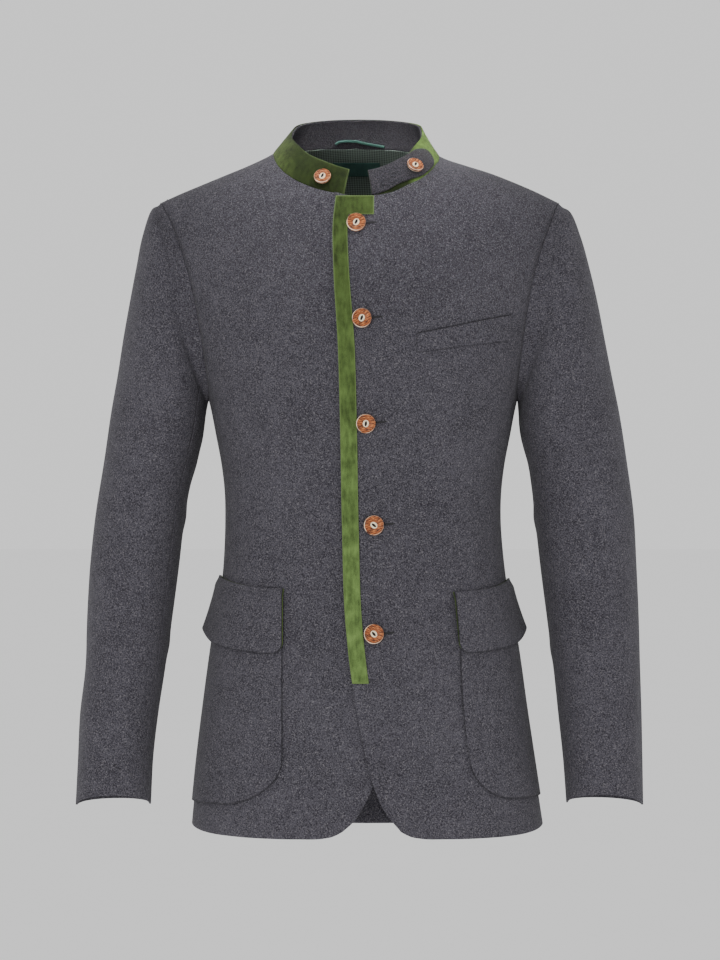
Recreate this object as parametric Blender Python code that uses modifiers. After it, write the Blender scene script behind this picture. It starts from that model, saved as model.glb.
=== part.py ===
"""Tyrolean loden jacket, worn form, buttoned up, with nobody inside.

Each cut piece is one object. The body, sleeves and collar are surfaces worked out from
short tables of sizes in millimetres; each cloth piece is a stretch of one of them,
thickened with Solidify. What lies on a panel is the same surface, lifted off it.

Frame: +Z up, +X to the wearer's left, the front faces -Y. The origin is between the
side-neck points, where the wearer's shoulders carry the jacket.
"""

import math
from collections import namedtuple

import bpy
import numpy as np
from mathutils import Vector

MM = 0.001

# Cloth, in millimetres
LODEN = 2.0
LODEN_LIGHT = 1.7
SUEDE = 1.2
FACING = 0.8
LINING = 1.0
SEAM = 0.5
SEAT = 0.8
SNUG = 0.5

# Steps for finding a normal and rounds for finding an angle
NORMAL_TURN = math.radians(0.4)
NORMAL_RISE = 0.8
ANGLE_ROUNDS = 14

# Body
FULLNESS = 0.07
RIDGE_Y = 5.0
FRONT_ROUND = 190.0
BACK_ROUND = 150.0
NECK_HALF = 91.0
NECK_DROP = 52.0
NECK_CROSSES = (-30.0, -8.0)
NECK_LEFT_RAISE = 4.2
NECK_LEFT_RISES = (32.0, 60.0)
NECK_LEFT_FALLS = (86.0, 91.0)
NECK_BACK_REACH = 57.0
SHOULDER_X = 218.0
ARMPIT_Z = -270.0
FRONT_NECK_COLUMNS = 7
BACK_NECK_COLUMNS = 5
SHOULDER_COLUMNS = 5
UPPER_DROPS = (0, 0.15, 2, 8, 18, 32, 50, 72, 98, 130)
SKIRT_ROWS = 8
WAIST_ROWS = 14
CHEST_ROWS = 6
CHEST_SPREAD = 1.8
UPRIGHT_BELOW = -480.0

BodyRing = namedtuple("BodyRing", "height half_width front back shift")
BODY = (
    BodyRing(-745, 194.4, 113, 113, 7.3),
    BodyRing(-662, 184.0, 116, 114, 5.0),
    BodyRing(-607, 176.5, 117, 113, 4.2),
    BodyRing(-545, 168.0, 115, 108, 4.0),
    BodyRing(-500, 161.0, 112, 103, 3.8),
    BodyRing(-460, 155.5, 109, 100, 3.4),
    BodyRing(-432, 153.0, 108, 99, 2.8),
    BodyRing(-400, 151.5, 108, 99, 2.2),
    BodyRing(-371, 152.0, 109, 101, 2.2),
    BodyRing(-341, 155.3, 112, 104, 2.2),
    BodyRing(-308, 161.5, 116, 109, 2.3),
    BodyRing(-270, 169.2, 120, 114, 2.2),
    BodyRing(-240, 178.0, 122, 117, 1.8),
    BodyRing(-195, 189.7, 123, 119, 1.2),
    BodyRing(-163, 198.0, 122, 119, 0.8),
    BodyRing(-128, 207.7, 120, 118, 0.4),
    BodyRing(-101, 214.8, 119, 117, 0.2),
    BodyRing(-73, 224.8, 118, 116, 0.0),
    BodyRing(-53, 233.0, 118, 116, -1.4),
    BodyRing(0, 250.0, 118, 116, -5.2),
    BodyRing(40, 262.0, 118, 116, -5.6),
)

# The left shoulder starts lower at the neck and then runs flatter: left_rise is added there
ShoulderPoint = namedtuple("ShoulderPoint", "out height left_rise")
SHOULDER_LINE = (
    ShoulderPoint(0, 34, 0),
    ShoulderPoint(45, 27, -0.8),
    ShoulderPoint(72, 15, -1.8),
    ShoulderPoint(91, 2.8, -2.6),
    ShoulderPoint(120, -11, 0.5),
    ShoulderPoint(145, -21, 2.6),
    ShoulderPoint(170, -31, 2.7),
    ShoulderPoint(195, -41, 1.6),
    ShoulderPoint(218, -51, 0),
    ShoulderPoint(240, -61, 0),
    ShoulderPoint(265, -73, 0),
)

Armhole = namedtuple("Armhole", "height front back")
ARMHOLE = (
    Armhole(-270, 169.2, 169.2),
    Armhole(-262, 168.5, 169.9),
    Armhole(-245, 169.6, 172.5),
    Armhole(-225, 172.0, 176.5),
    Armhole(-195, 176.0, 181.5),
    Armhole(-163, 181.0, 186.5),
    Armhole(-128, 189.0, 192.5),
    Armhole(-101, 197.6, 199.5),
    Armhole(-73, 208.0, 209.0),
    Armhole(-51, 218.0, 218.0),
)

# Fronts: the edges across from the sleeves, and the hem where the corner is rounded off
EdgePoint = namedtuple("EdgePoint", "height x")
LAP_EDGE = (
    EdgePoint(-733, 43.0),
    EdgePoint(-723.8, 34.7),
    EdgePoint(-713, 26.4),
    EdgePoint(-698.3, 18.9),
    EdgePoint(-683.8, 13.3),
    EdgePoint(-630, 0.5),
    EdgePoint(-574.5, -9.6),
    EdgePoint(-512, -16.6),
    EdgePoint(-407, -20.4),
    EdgePoint(-302, -22.3),
    EdgePoint(-217, -24.6),
    EdgePoint(-126, -29.6),
    EdgePoint(-82, -30.1),
    EdgePoint(-46, -26.3),
)
UNDER_EDGE = (
    EdgePoint(-734, -20.4),
    EdgePoint(-724.5, -9.7),
    EdgePoint(-713, -1.1),
    EdgePoint(-701, 5.4),
    EdgePoint(-683.8, 13.3),
    EdgePoint(-665, 21.0),
    EdgePoint(-640, 26.5),
    EdgePoint(-600, 28.0),
    EdgePoint(-46, 28.0),
)
HemPoint = namedtuple("HemPoint", "past_corner height")
FRONT_HEM = (
    HemPoint(0, -733.5),
    HemPoint(10, -738.9),
    HemPoint(21, -741.2),
    HemPoint(50, -742.2),
    HemPoint(100, -741.6),
    HemPoint(160, -738.6),
    HemPoint(220, -738.4),
)
HEM_SIDE_RISE = 6.0
HEM_SIDE_RISES = (math.radians(50), math.radians(90))
BACK_HEM_Z = -743.0
BACK_HEM_RISE = 10.4
HEM_BAND = -640.0

# The lap stands over the edge beneath it and comes down past that edge
LAP_RISE = LODEN + SEAT
LAP_FLAT_X = 38.0
LAP_DOWN_X = 66.0

# Trim down the lap's edge, with a bar across its top
TRIM_WIDTH = 17.3
TRIM_TOP_WIDTH = 15.3
TRIM_END_Z = -574.5
TRIM_BAR_X = 13.5
TRIM_BAR_DEPTH = 19.8
TRIM_LIFT = LAP_RISE + SEAT
TRIM_INSET = 0.4
TRIM_UNDER_COLLAR = 0.5
TRIM_WIDENS_FROM = -80.0
TRIM_WIDENS_TO = -220.0
TRIM_ROWS = 18

# Collar: rings are the neckline and this upper edge
CollarPoint = namedtuple("CollarPoint", "angle y right_out right_z left_out left_z")
COLLAR_TOP = (
    CollarPoint(0, -74, 0, -22.3, 0, -22.8),
    CollarPoint(13, -73.5, 17, -18.2, 17, -20.3),
    CollarPoint(31, -66, 39, -9.8, 39, -11.1),
    CollarPoint(46, -53, 54.5, -1.8, 52.3, -3.2),
    CollarPoint(62, -34, 66.5, 9.8, 60.8, 8),
    CollarPoint(80, -10, 73.5, 19.5, 68.9, 19.5),
    CollarPoint(100, 14, 73, 30, 70.5, 30),
    CollarPoint(116, 30, 68, 36.3, 68, 36.3),
    CollarPoint(136, 44, 53, 40.9, 53, 40.9),
    CollarPoint(158, 52, 28, 43.9, 28, 43.9),
    CollarPoint(180, 54, 0, 44.8, 0, 44.8),
)
COLLAR_TOP_X = -2.6
COLLAR_ENDS_AT_NECK = (8.7, 349.4)
COLLAR_ENDS_AT_TOP = (7.7, 352.6)
COLLAR_LIFT = 0.6
COLLAR_BOW = 1.5
COLLAR_HOLLOW = 1.4
COLLAR_HOLLOW_AT = 0.24
COLLAR_HOLLOW_REACH = 0.09
COLLAR_TILT = 0.4
COLLAR_COLUMNS = 38
COLLAR_ROWS = 3
COLLAR_STEP = 0.004

TAB_LIFT = SNUG + 0.2
TAB_ROWS = 4
TabStation = namedtuple("TabStation", "along low high")
TAB = (
    TabStation(0.000, 0.02, 0.96),
    TabStation(0.030, 0.11, 0.96),
    TabStation(0.056, 0.19, 0.96),
    TabStation(0.079, 0.15, 0.98),
    TabStation(0.100, 0.10, 0.98),
    TabStation(0.120, 0.05, 0.955),
    TabStation(0.140, 0.04, 0.91),
    TabStation(0.156, 0.04, 0.83),
    TabStation(0.168, 0.05, 0.74),
    TabStation(0.176, 0.11, 0.66),
    TabStation(0.181, 0.20, 0.58),
    TabStation(0.184, 0.32, 0.50),
)

# Sleeves: outer and inner points as seen from the front, and how far they reach front and back
SleeveRing = namedtuple("SleeveRing", "outer_x outer_z inner_x inner_z front back")
SLEEVE_LEFT = (
    SleeveRing(230.0, -61, 172.6, -274, -61, 65),
    SleeveRing(242.0, -90, 173.0, -279, -66, 70),
    SleeveRing(251.0, -122, 173.5, -286, -69, 73),
    SleeveRing(260.0, -160, 174.0, -296, -70, 75),
    SleeveRing(267.8, -200, 175.8, -309, -69, 75),
    SleeveRing(276.0, -242, 179.0, -322, -67, 73),
    SleeveRing(284.0, -282, 183.5, -338, -65, 70),
    SleeveRing(291.8, -332, 187.6, -364, -63, 66),
    SleeveRing(299.7, -392, 191.7, -402, -62, 62),
    SleeveRing(302.8, -450, 197.2, -452, -62, 57),
    SleeveRing(305.0, -505, 204.2, -508, -64, 50),
    SleeveRing(306.5, -560, 211.0, -562, -67, 42),
    SleeveRing(307.6, -612, 216.2, -614, -71, 34),
    SleeveRing(308.0, -660, 221.0, -661, -74, 26),
    SleeveRing(308.3, -711, 224.3, -708.5, -76, 17),
)
SLEEVE_RIGHT = (
    SleeveRing(229.5, -57.5, 168.8, -274, -61, 65),
    SleeveRing(240.3, -88, 169.8, -279, -66, 70),
    SleeveRing(247.0, -122, 171.0, -287, -69, 73),
    SleeveRing(253.8, -158, 172.3, -298, -70, 75),
    SleeveRing(261.0, -198, 174.2, -311, -69, 75),
    SleeveRing(267.5, -240, 177.5, -325, -67, 73),
    SleeveRing(274.5, -280, 181.0, -340, -65, 70),
    SleeveRing(282.0, -332, 187.5, -362, -63, 66),
    SleeveRing(291.5, -392, 194.0, -399, -62, 62),
    SleeveRing(297.6, -450, 200.0, -451, -62, 57),
    SleeveRing(300.8, -508, 207.3, -508, -64, 50),
    SleeveRing(302.6, -562, 214.8, -563, -67, 42),
    SleeveRing(308.2, -614, 222.3, -614, -71, 34),
    SleeveRing(309.8, -660, 227.2, -659, -74, 26),
    SleeveRing(311.7, -711, 229.5, -710, -76, 17),
)
SLEEVE_SEAM_OFF = 1.2
SLEEVE_FULLNESS = 0.03
FRONT_SEAM_ANGLE = 142.0
BACK_SEAM_ANGLE = 258.0
SLEEVE_SEAM_GAP = math.radians(0.25)
SLEEVE_SEAM_PRESSED = math.radians(1.5)
UPPER_SLEEVE_COLUMNS = 14
UNDER_SLEEVE_COLUMNS = 7
CUFF_ARCH = 13.0
CUFF_BACK_ARCH = 3.0

# Pockets
Pocket = namedtuple(
    "Pocket", "side front_x low_in bottom corner flap_x flap_low_x flap_top flap_bottom"
)
POCKETS = {
    "left": Pocket(1, 106.5, 11, -701, 44, 99.5, 104.5, -477.0, -543.0),
    "right": Pocket(-1, -84.5, 0, -707, 52, -83.5, -83.5, -473.5, -543.5),
}
POCKET_END = 96.0
POCKET_RUN = 155.0
POCKET_ROWS = 8
POCKET_COLUMNS = 13
POCKET_SPREAD = 1.35
POCKET_LEAN_SPREAD = 3
FLAP_END = 93.0
FLAP_RUN = 150.0
FLAP_ROWS = 6
FLAP_COLUMNS = 12
FLAP_SPREAD = 1.6
FLAP_RISE = 12.0
FLAP_RISE_ENDS = 0.9
FLAP_REAR_RISE = 11.0
FLAP_REAR_STARTS = 0.6
FLAP_CORNER = 11.0
FLAP_FLARE = 8.0
FLARE_STARTS = math.radians(66)
FLARE_SPREAD = 1.5
FLAP_CLEAR = LODEN_LIGHT + SNUG + 0.1
FLAP_SEAM_BAND = 11.0
FACING_EDGE = 0.6
FACING_SHORT = 1.2
POCKET_UNDER_FLAP = 12.0

WeltEnd = namedtuple("WeltEnd", "x top bottom")
WELT = (WeltEnd(60.2, -199.0, -219.5), WeltEnd(161.0, -177.5, -206.0))
WELT_COLUMNS = 9
WELT_ROWS = 3

# Buttons
SHANK_RADIUS = 0.26
ProfilePoint = namedtuple("ProfilePoint", "radius height")
BUTTON_PROFILE = (
    ProfilePoint(0.00, 0.74),
    ProfilePoint(SHANK_RADIUS, 0.74),
    ProfilePoint(0.36, 0.86),
    ProfilePoint(0.80, 0.98),
    ProfilePoint(0.93, 0.88),
    ProfilePoint(1.00, 0.58),
    ProfilePoint(0.95, 0.20),
    ProfilePoint(0.82, 0.00),
    ProfilePoint(SHANK_RADIUS, 0.00),
)
BUTTON_THICK = 4.0
BUTTON_STAND = 2.2
BUTTON_STEPS = 14
MERGE_UNDER = 0.0001
FrontButton = namedtuple("FrontButton", "x z radius")
FRONT_BUTTONS = (
    FrontButton(-4.9, -82.0, 10.4),
    FrontButton(0.7, -183.3, 10.5),
    FrontButton(5.1, -295.2, 10.5),
    FrontButton(13.6, -404.8, 10.8),
    FrontButton(13.6, -521.8, 10.8),
)
CollarButton = namedtuple("CollarButton", "name along up radius lift")
COLLAR_BUTTONS = (
    CollarButton("collar_button_left", 0.1065, 0.43, 9.3, LODEN_LIGHT + SNUG),
    CollarButton("collar_button_right", 0.950, 0.38, 9.3, 0.0),
)

# Inside the neck
PLEAT_WIDTH = 26.0
PLEAT_DEPTH = 2.4
LINING_ABOVE_HEM = 42.0
LINING_LIFT = -(LODEN + 1.2)
LINING_INSET = 0.05
LINING_EASE = 1.4
LINING_EDGE_SPREAD = 4
PLEAT_FOLD = 2.0
LINING_ROWS = (0, 4, 7, 9, 11, 13, 14, 15, 16, 17, 18, 19, 20, 22, 23, 24, 25, 27, 29, 30)
LABEL_HALF = 27.0
LABEL_TOP = 3.0
LABEL_BOTTOM = -12.0
LABEL_COLUMNS = 7
LABEL_ROWS = 4
LABEL_LIFT = LINING_LIFT - LINING - PLEAT_DEPTH - 1.0
LOOP_RADIUS = 1.6
LOOP_POINTS = 13
LOOP_ALONG_PER_MM = 0.0018
LOOP_CLEAR = 0.4
LoopPoint = namedtuple("LoopPoint", "across up")
LOOP_LINE = (
    LoopPoint(-27, 0.11),
    LoopPoint(-23, 0.19),
    LoopPoint(-17, 0.225),
    LoopPoint(-4, 0.20),
    LoopPoint(12, 0.13),
    LoopPoint(33, 0.02),
)

Finish = namedtuple("Finish", "colour roughness")
LODEN_GREY = Finish((0.075, 0.073, 0.085), 0.95)
MOSS_SUEDE = Finish((0.105, 0.185, 0.040), 0.90)
CHECK_LINING = Finish((0.020, 0.040, 0.034), 0.70)
TEAL = Finish((0.020, 0.120, 0.095), 0.75)
HORN = Finish((0.450, 0.130, 0.045), 0.50)


def smooth(at, stations, values):
    """Read a table between its rows: a cubic whose slope at each row follows its neighbours."""
    stations = np.asarray(stations, float)
    values = np.asarray(values, float)
    slopes = np.gradient(values, stations)
    at = np.clip(np.asarray(at, float), stations[0], stations[-1])
    low = np.clip(np.searchsorted(stations, at, side="right") - 1, 0, len(stations) - 2)
    step = stations[low + 1] - stations[low]
    t = (at - stations[low]) / step
    start = (1 + 2 * t) * (1 - t) ** 2 * values[low] + t * (1 - t) ** 2 * step * slopes[low]
    end = t**2 * (3 - 2 * t) * values[low + 1] + t**2 * (t - 1) * step * slopes[low + 1]
    return start + end


def column(rows, name):
    """One named column of a table."""
    return np.array([getattr(row, name) for row in rows], float)


def read(rows, station, name, at):
    """The named column at a value of the station column."""
    return smooth(at, column(rows, station), column(rows, name))


def ease(value, start, end):
    """0 before start and 1 past end, with level ends."""
    t = np.clip((np.asarray(value, float) - start) / (end - start), 0, 1)
    return t * t * (3 - 2 * t)


def shift_at(height):
    """How far the body's middle lies to the wearer's left at a height."""
    return read(BODY, "height", "shift", height)


def shoulder_height(out):
    """Height of the shoulder line over a distance from the middle, above 0 to the left."""
    left_rise = np.where(out > 0, read(SHOULDER_LINE, "out", "left_rise", np.abs(out)), 0)
    return read(SHOULDER_LINE, "out", "height", np.abs(out)) + left_rise


def bulge(angle):
    """Makes an ellipse squarer: 1 on its axes, more between them."""
    return 1 + FULLNESS * np.sin(2 * angle) ** 2


def body_surface(angle, height):
    """The body: angle is 0 at the centre front, 90 at the left side seam, 180 at the centre back."""
    forward = np.cos(angle)
    is_front = forward > 0
    half = read(BODY, "height", "half_width", height)
    front = read(BODY, "height", "front", height)
    back = read(BODY, "height", "back", height)
    x = half * np.sin(angle) * bulge(angle)
    drop = np.maximum(shoulder_height(x) - height, 0)
    share = np.minimum(drop / np.where(is_front, FRONT_ROUND, BACK_ROUND), 1)
    rounding = np.sqrt(1 - (1 - share) ** 2)
    reach = np.where(is_front, front, back) * forward * bulge(angle) * rounding
    y = RIDGE_Y * (1 - share) - reach + np.where(is_front, -SEAM / 2, SEAM / 2)
    return np.stack([x + shift_at(height), y, height + 0 * x], axis=-1)


def unit(vectors):
    """Vectors of length 1."""
    return vectors / np.maximum(np.linalg.norm(vectors, axis=-1, keepdims=True), 1e-9)


def skin(angle, height, lift=0.0):
    """Body points moved out along the surface's normal by lift."""
    angle, height, lift = np.broadcast_arrays(angle, height, lift)
    left, right = angle + NORMAL_TURN, angle - NORMAL_TURN
    across = body_surface(left, height) - body_surface(right, height)
    up = body_surface(angle, height + NORMAL_RISE) - body_surface(angle, height - NORMAL_RISE)
    normal = unit(np.cross(across, up))
    return body_surface(angle, height) + normal * lift[..., None]


def angle_at(out, height):
    """The angle whose body point lies a distance out from the middle, seen from the front."""
    share = out / read(BODY, "height", "half_width", height)
    angle = np.arcsin(np.clip(share, -1, 1))
    for _ in range(ANGLE_ROUNDS):
        angle = np.arcsin(np.clip(share / bulge(angle), -1, 1))
    return angle


def front_angle(x, height):
    """The angle of a front point given its place across and its height."""
    return angle_at(x - shift_at(height), height)


def lap_rise(x):
    """How far the lapping front stands off the body over the edge beneath it."""
    return LAP_RISE * (1 - ease(x, LAP_FLAT_X, LAP_DOWN_X))


def outer_angle(height, face):
    """Where a panel ends across: the side seam, or the armhole above the armpit."""
    armhole = angle_at(read(ARMHOLE, "height", face, height), height)
    return np.where(height <= ARMPIT_Z, math.pi / 2 - 1e-6, armhole)


def neck_height(out, face, side):
    """Height of the neckline of one side's panel over a distance from the middle."""
    level = np.sqrt(np.clip(1 - (out / NECK_HALF) ** 2, 0, 1))
    left_z, right_z = (shoulder_height(np.array(end)) for end in (NECK_HALF, -NECK_HALF))
    if face == "front":
        x = side * out
        middle = right_z + (left_z - right_z) * ease(x, *NECK_CROSSES) - NECK_DROP * level
        return middle + NECK_LEFT_RAISE * ease(x, *NECK_LEFT_RISES) * (1 - ease(x, *NECK_LEFT_FALLS))
    reach = NECK_BACK_REACH * level / read(BODY, "height", "back", right_z)
    return shoulder_height(side * out) - BACK_ROUND * (1 - np.sqrt(1 - reach**2))


def neck_steps(face, side):
    """Angles round the neck of a panel's columns; the seam runs straight between them."""
    edge_x = {("front", 1): LAP_EDGE[-1].x, ("front", -1): -UNDER_EDGE[-1].x}.get((face, side), 0)
    columns = FRONT_NECK_COLUMNS if face == "front" else BACK_NECK_COLUMNS
    return np.linspace(math.asin(edge_x / NECK_HALF), math.pi / 2, columns + 1)


def panel(face, edge, hem, side, shoulder_columns):
    """Angles and heights over one half panel, in rows from hem to top.

    edge gives the angle of its inner edge at a height and hem the lower edge's height at an
    angle; the top runs along the neckline and then along the shoulder.
    """
    top_out = np.concatenate(
        [
            NECK_HALF * np.sin(neck_steps(face, side)),
            np.linspace(NECK_HALF, SHOULDER_X, shoulder_columns + 1)[1:],
        ]
    )
    on_neck = top_out < NECK_HALF - 1e-6
    neck = neck_height(np.minimum(top_out, NECK_HALF), face, side)
    top = np.where(on_neck, neck, shoulder_height(side * top_out))
    top_share = (angle_at(top_out, top) - edge(top)) / (outer_angle(top, face) - edge(top))
    low_share = np.linspace(0, 1, len(top_out))
    low_edge = edge(np.array(BODY[0].height, float))
    low = hem(low_edge + low_share * (math.pi / 2 - low_edge))
    under = top - UPPER_DROPS[-1]
    skirt, waist, chest = (np.linspace(0, 1, n) for n in (SKIRT_ROWS, WAIST_ROWS, CHEST_ROWS))
    rows = [low + (HEM_BAND - low) * t for t in skirt]
    rows += [HEM_BAND + (ARMPIT_Z - HEM_BAND) * t + 0 * low for t in waist[1:]]
    rows += [ARMPIT_Z + (under - ARMPIT_Z) * t**CHEST_SPREAD for t in chest[1:-1]]
    rows += [top - drop for drop in reversed(UPPER_DROPS)]
    height = np.array(rows)
    share = low_share + (top_share - low_share) * ease(height, UPRIGHT_BELOW, top)
    inner = edge(height)
    return inner + share * (outer_angle(height, face) - inner), height


def mesh_object(name, vertices, faces, finish):
    """A mesh object in the jacket's collection, from points in millimetres."""
    mesh = bpy.data.meshes.new(name)
    mesh.from_pydata((np.asarray(vertices) * MM).tolist(), [], faces)
    mesh.validate()
    mesh.shade_smooth()
    obj = bpy.data.objects.new(name, mesh)
    obj.data.materials.append(material(finish))
    bpy.data.collections["tyrolean_jacket"].objects.link(obj)
    return obj


def material(finish):
    """The Principled material of a finish, made once."""
    name = "finish_" + "_".join(f"{round(channel * 1000)}" for channel in finish.colour)
    if name in bpy.data.materials:
        return bpy.data.materials[name]
    made = bpy.data.materials.new(name)
    made.use_nodes = True
    shader = made.node_tree.nodes["Principled BSDF"]
    shader.inputs["Base Color"].default_value = (*finish.colour, 1)
    shader.inputs["Roughness"].default_value = finish.roughness
    shader.inputs["Metallic"].default_value = 0.0
    return made


def cloth(name, grid, thick, finish, outward=False, flip=False, keep=None):
    """An open surface of points in rows and columns, made a wall with Solidify.

    Columns run anticlockwise seen from above and rows run up, which faces the surface out;
    flip is for the other way round. keep says which cells are cloth.
    """
    rows, columns = grid.shape[:2]
    index = np.arange(rows * columns).reshape(rows, columns)
    quads = np.stack([index[:-1, :-1], index[:-1, 1:], index[1:, 1:], index[1:, :-1]], axis=-1)
    quads = quads[keep] if keep is not None else quads.reshape(-1, 4)
    if flip:
        quads = quads[:, ::-1]
    used, quads = np.unique(quads, return_inverse=True)
    obj = mesh_object(name, grid.reshape(-1, 3)[used], quads.reshape(-1, 4).tolist(), finish)
    wall = obj.modifiers.new("wall", "SOLIDIFY")
    wall.thickness = thick * MM
    wall.offset = 1 if outward else -1
    return obj


def build_fronts():
    """The lapping left front, the right front under it, and the trim down the lap's edge."""

    def lap_edge(height):
        return front_angle(read(LAP_EDGE, "height", "x", height), height)

    def under_edge(height):
        return -front_angle(read(UNDER_EDGE, "height", "x", height), height)

    def hem_from(corner):
        def hem(angle):
            out = body_surface(angle, FRONT_HEM[2].height)[..., 0]
            rise = HEM_SIDE_RISE * ease(angle, *HEM_SIDE_RISES)
            return read(FRONT_HEM, "past_corner", "height", out - corner) + rise

        return hem

    lap_corner = LAP_EDGE[0].x
    under_corner = -UNDER_EDGE[0].x + 2 * shift_at(UNDER_EDGE[0].height)
    angle, height = panel("front", lap_edge, hem_from(lap_corner), 1, SHOULDER_COLUMNS + 1)
    x = body_surface(angle, height)[..., 0]
    cloth("front_left", skin(angle, height, lap_rise(x)), LODEN, LODEN_GREY)
    angle, height = panel("front", under_edge, hem_from(under_corner), -1, SHOULDER_COLUMNS + 1)
    cloth("front_right", skin(-angle, height)[:, ::-1], LODEN, LODEN_GREY)

    top = neck_height(0.0, "front", 1) - TRIM_UNDER_COLLAR
    bar = top - TRIM_BAR_DEPTH
    strip = np.linspace(TRIM_END_Z, bar, TRIM_ROWS + 1)
    levels = np.concatenate([strip, [(bar + top) / 2, top]])
    edge = read(LAP_EDGE, "height", "x", levels) + TRIM_INSET
    wider = 1 - ease(levels, TRIM_WIDENS_TO, TRIM_WIDENS_FROM)
    width = TRIM_TOP_WIDTH + (TRIM_WIDTH - TRIM_TOP_WIDTH) * wider
    across = np.stack([edge, edge + width / 2, edge + width, 0 * edge + TRIM_BAR_X], axis=1)
    levels = levels[:, None] + 0 * across
    keep = np.ones((len(levels) - 1, 3), bool)
    keep[:TRIM_ROWS, 2] = False
    grid = skin(front_angle(across, levels), levels, TRIM_LIFT)
    cloth("front_trim", grid, SUEDE, MOSS_SUEDE, outward=True, keep=keep)


def whole_back(inset, rows=slice(None)):
    """Angles round the body and heights over both halves of the back, from left to right.

    inset draws each half in towards the centre back by a share of its angles, all of it at the
    outer edge. Also gives how far out each column lies, from 0 at the centre to 1.
    """

    def hem(angle):
        return BACK_HEM_Z + BACK_HEM_RISE * np.sin(angle) ** 2

    def centre(height):
        return 0.0 * height

    left, left_height = panel("back", centre, hem, 1, SHOULDER_COLUMNS)
    right, right_height = panel("back", centre, hem, -1, SHOULDER_COLUMNS)
    outward = np.linspace(0, 1, left.shape[1]) ** LINING_EDGE_SPREAD
    left, right = left * (1 - inset * outward), right * (1 - inset * outward)
    turn = np.concatenate([math.pi - left[:, ::-1], math.pi + right[:, 1:]], axis=1)
    tall = np.concatenate([left_height[:, ::-1], right_height[:, 1:]], axis=1)
    return turn[rows, :], tall[rows, :], np.concatenate([outward[::-1], outward[1:]])


def build_back():
    """The back in one piece, and the lining that shows inside it."""
    turn, tall, _ = whole_back(0.0)
    cloth("back", skin(turn, tall), LODEN, LODEN_GREY)

    turn, tall, outward = whole_back(LINING_INSET, LINING_ROWS)
    tall[0] += LINING_ABOVE_HEM
    across = body_surface(turn, tall)[..., 0] - shift_at(tall)
    pleat = PLEAT_DEPTH * (1 - ease(np.abs(across), PLEAT_FOLD, PLEAT_WIDTH / 2))
    grid = skin(turn, tall, LINING_LIFT - pleat - LINING_EASE * outward)
    cloth("back_lining", grid, LINING, CHECK_LINING)

    across = np.linspace(LABEL_HALF, -LABEL_HALF, LABEL_COLUMNS)
    tall = np.linspace(LABEL_BOTTOM, LABEL_TOP, LABEL_ROWS)[:, None] + 0 * across
    angle = math.pi - angle_at(across, tall)
    cloth("neck_label", skin(angle, tall, LABEL_LIFT), FACING, TEAL)


def armhole_loop(turn, side):
    """One armhole, mirrored to the left: 0 at the shoulder, 90 degrees in front, 180 at the armpit."""
    middle, half = (ARMHOLE[-1].height + ARMPIT_Z) / 2, (ARMHOLE[-1].height - ARMPIT_Z) / 2
    height = middle + half * np.cos(turn)
    front = angle_at(read(ARMHOLE, "height", "front", height), height)
    back = math.pi - angle_at(read(ARMHOLE, "height", "back", height), height)
    return body_surface(side * np.where(np.sin(turn) >= 0, front, back), height) * (side, 1, 1)


def sleeve_rings(rings, side, turn):
    """The sleeve's rings around turn: the armhole, then the table's slanted ovals."""
    loop = armhole_loop(turn, side)
    loop[:, 0] += SLEEVE_SEAM_OFF
    middle_y = 0.5 * (column(rings, "front") + column(rings, "back"))
    half_y = 0.5 * (column(rings, "back") - column(rings, "front"))
    outer = np.stack([column(rings, "outer_x"), middle_y, column(rings, "outer_z")], axis=-1)
    inner = np.stack([column(rings, "inner_x"), middle_y, column(rings, "inner_z")], axis=-1)
    squarer = (1 + SLEEVE_FULLNESS * np.sin(2 * turn) ** 2)[None, :, None]
    swing = (outer - inner)[:, None] / 2 * np.cos(turn)[None, :, None]
    ovals = (outer + inner)[:, None] / 2 + swing * squarer
    ovals[..., 1] -= half_y[:, None] * np.sin(turn) * squarer[..., 0]
    arch = CUFF_ARCH * np.maximum(np.sin(turn), 0) + CUFF_BACK_ARCH * np.maximum(-np.sin(turn), 0)
    ovals[-1, :, 2] += arch
    ovals[-2, :, 2] += arch / 3
    return np.concatenate([loop[None], ovals]) * (side, 1, 1)


def build_sleeve(name, rings, side):
    """A two-piece sleeve: the upper piece, and the under piece along the inner arm."""
    gap = SLEEVE_SEAM_GAP
    front, back = math.radians(FRONT_SEAM_ANGLE), math.radians(BACK_SEAM_ANGLE)
    for piece, start, end, columns in (
        ("upper_sleeve_", back - 2 * math.pi + gap, front - gap, UPPER_SLEEVE_COLUMNS),
        ("under_sleeve_", front + gap, back - gap, UNDER_SLEEVE_COLUMNS),
    ):
        inner = np.linspace(start + SLEEVE_SEAM_PRESSED, end - SLEEVE_SEAM_PRESSED, columns)
        turn = np.concatenate([[start], inner, [end]])
        grid = sleeve_rings(rings, side, turn)[::-1]
        cloth(piece + name, grid, LODEN, LODEN_GREY, flip=side > 0)


def neck_points(angle, face, side):
    """Points of one panel's neckline; angle is 0 at the centre and 90 degrees at the side."""
    out = NECK_HALF * np.sin(angle)
    height = neck_height(out, face, side)
    around = angle_at(out, height)
    return body_surface(side * (around if face == "front" else math.pi - around), height)


def neckline(angle):
    """The neck seam from the centre front round by the left: straight between the panels' columns."""
    front, back, under = neck_steps("front", 1), neck_steps("back", 1), neck_steps("front", -1)
    steps = np.concatenate([front, np.pi - back[-2::-1], np.pi + back[1:], 2 * np.pi - under[-2::-1]])
    points = np.concatenate(
        [
            neck_points(front, "front", 1),
            neck_points(back[-2::-1], "back", 1),
            neck_points(back[1:], "back", -1),
            neck_points(under[-2::-1], "front", -1),
        ]
    )
    return np.stack([np.interp(angle, steps, points[:, axis]) for axis in range(3)], axis=-1)


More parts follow.
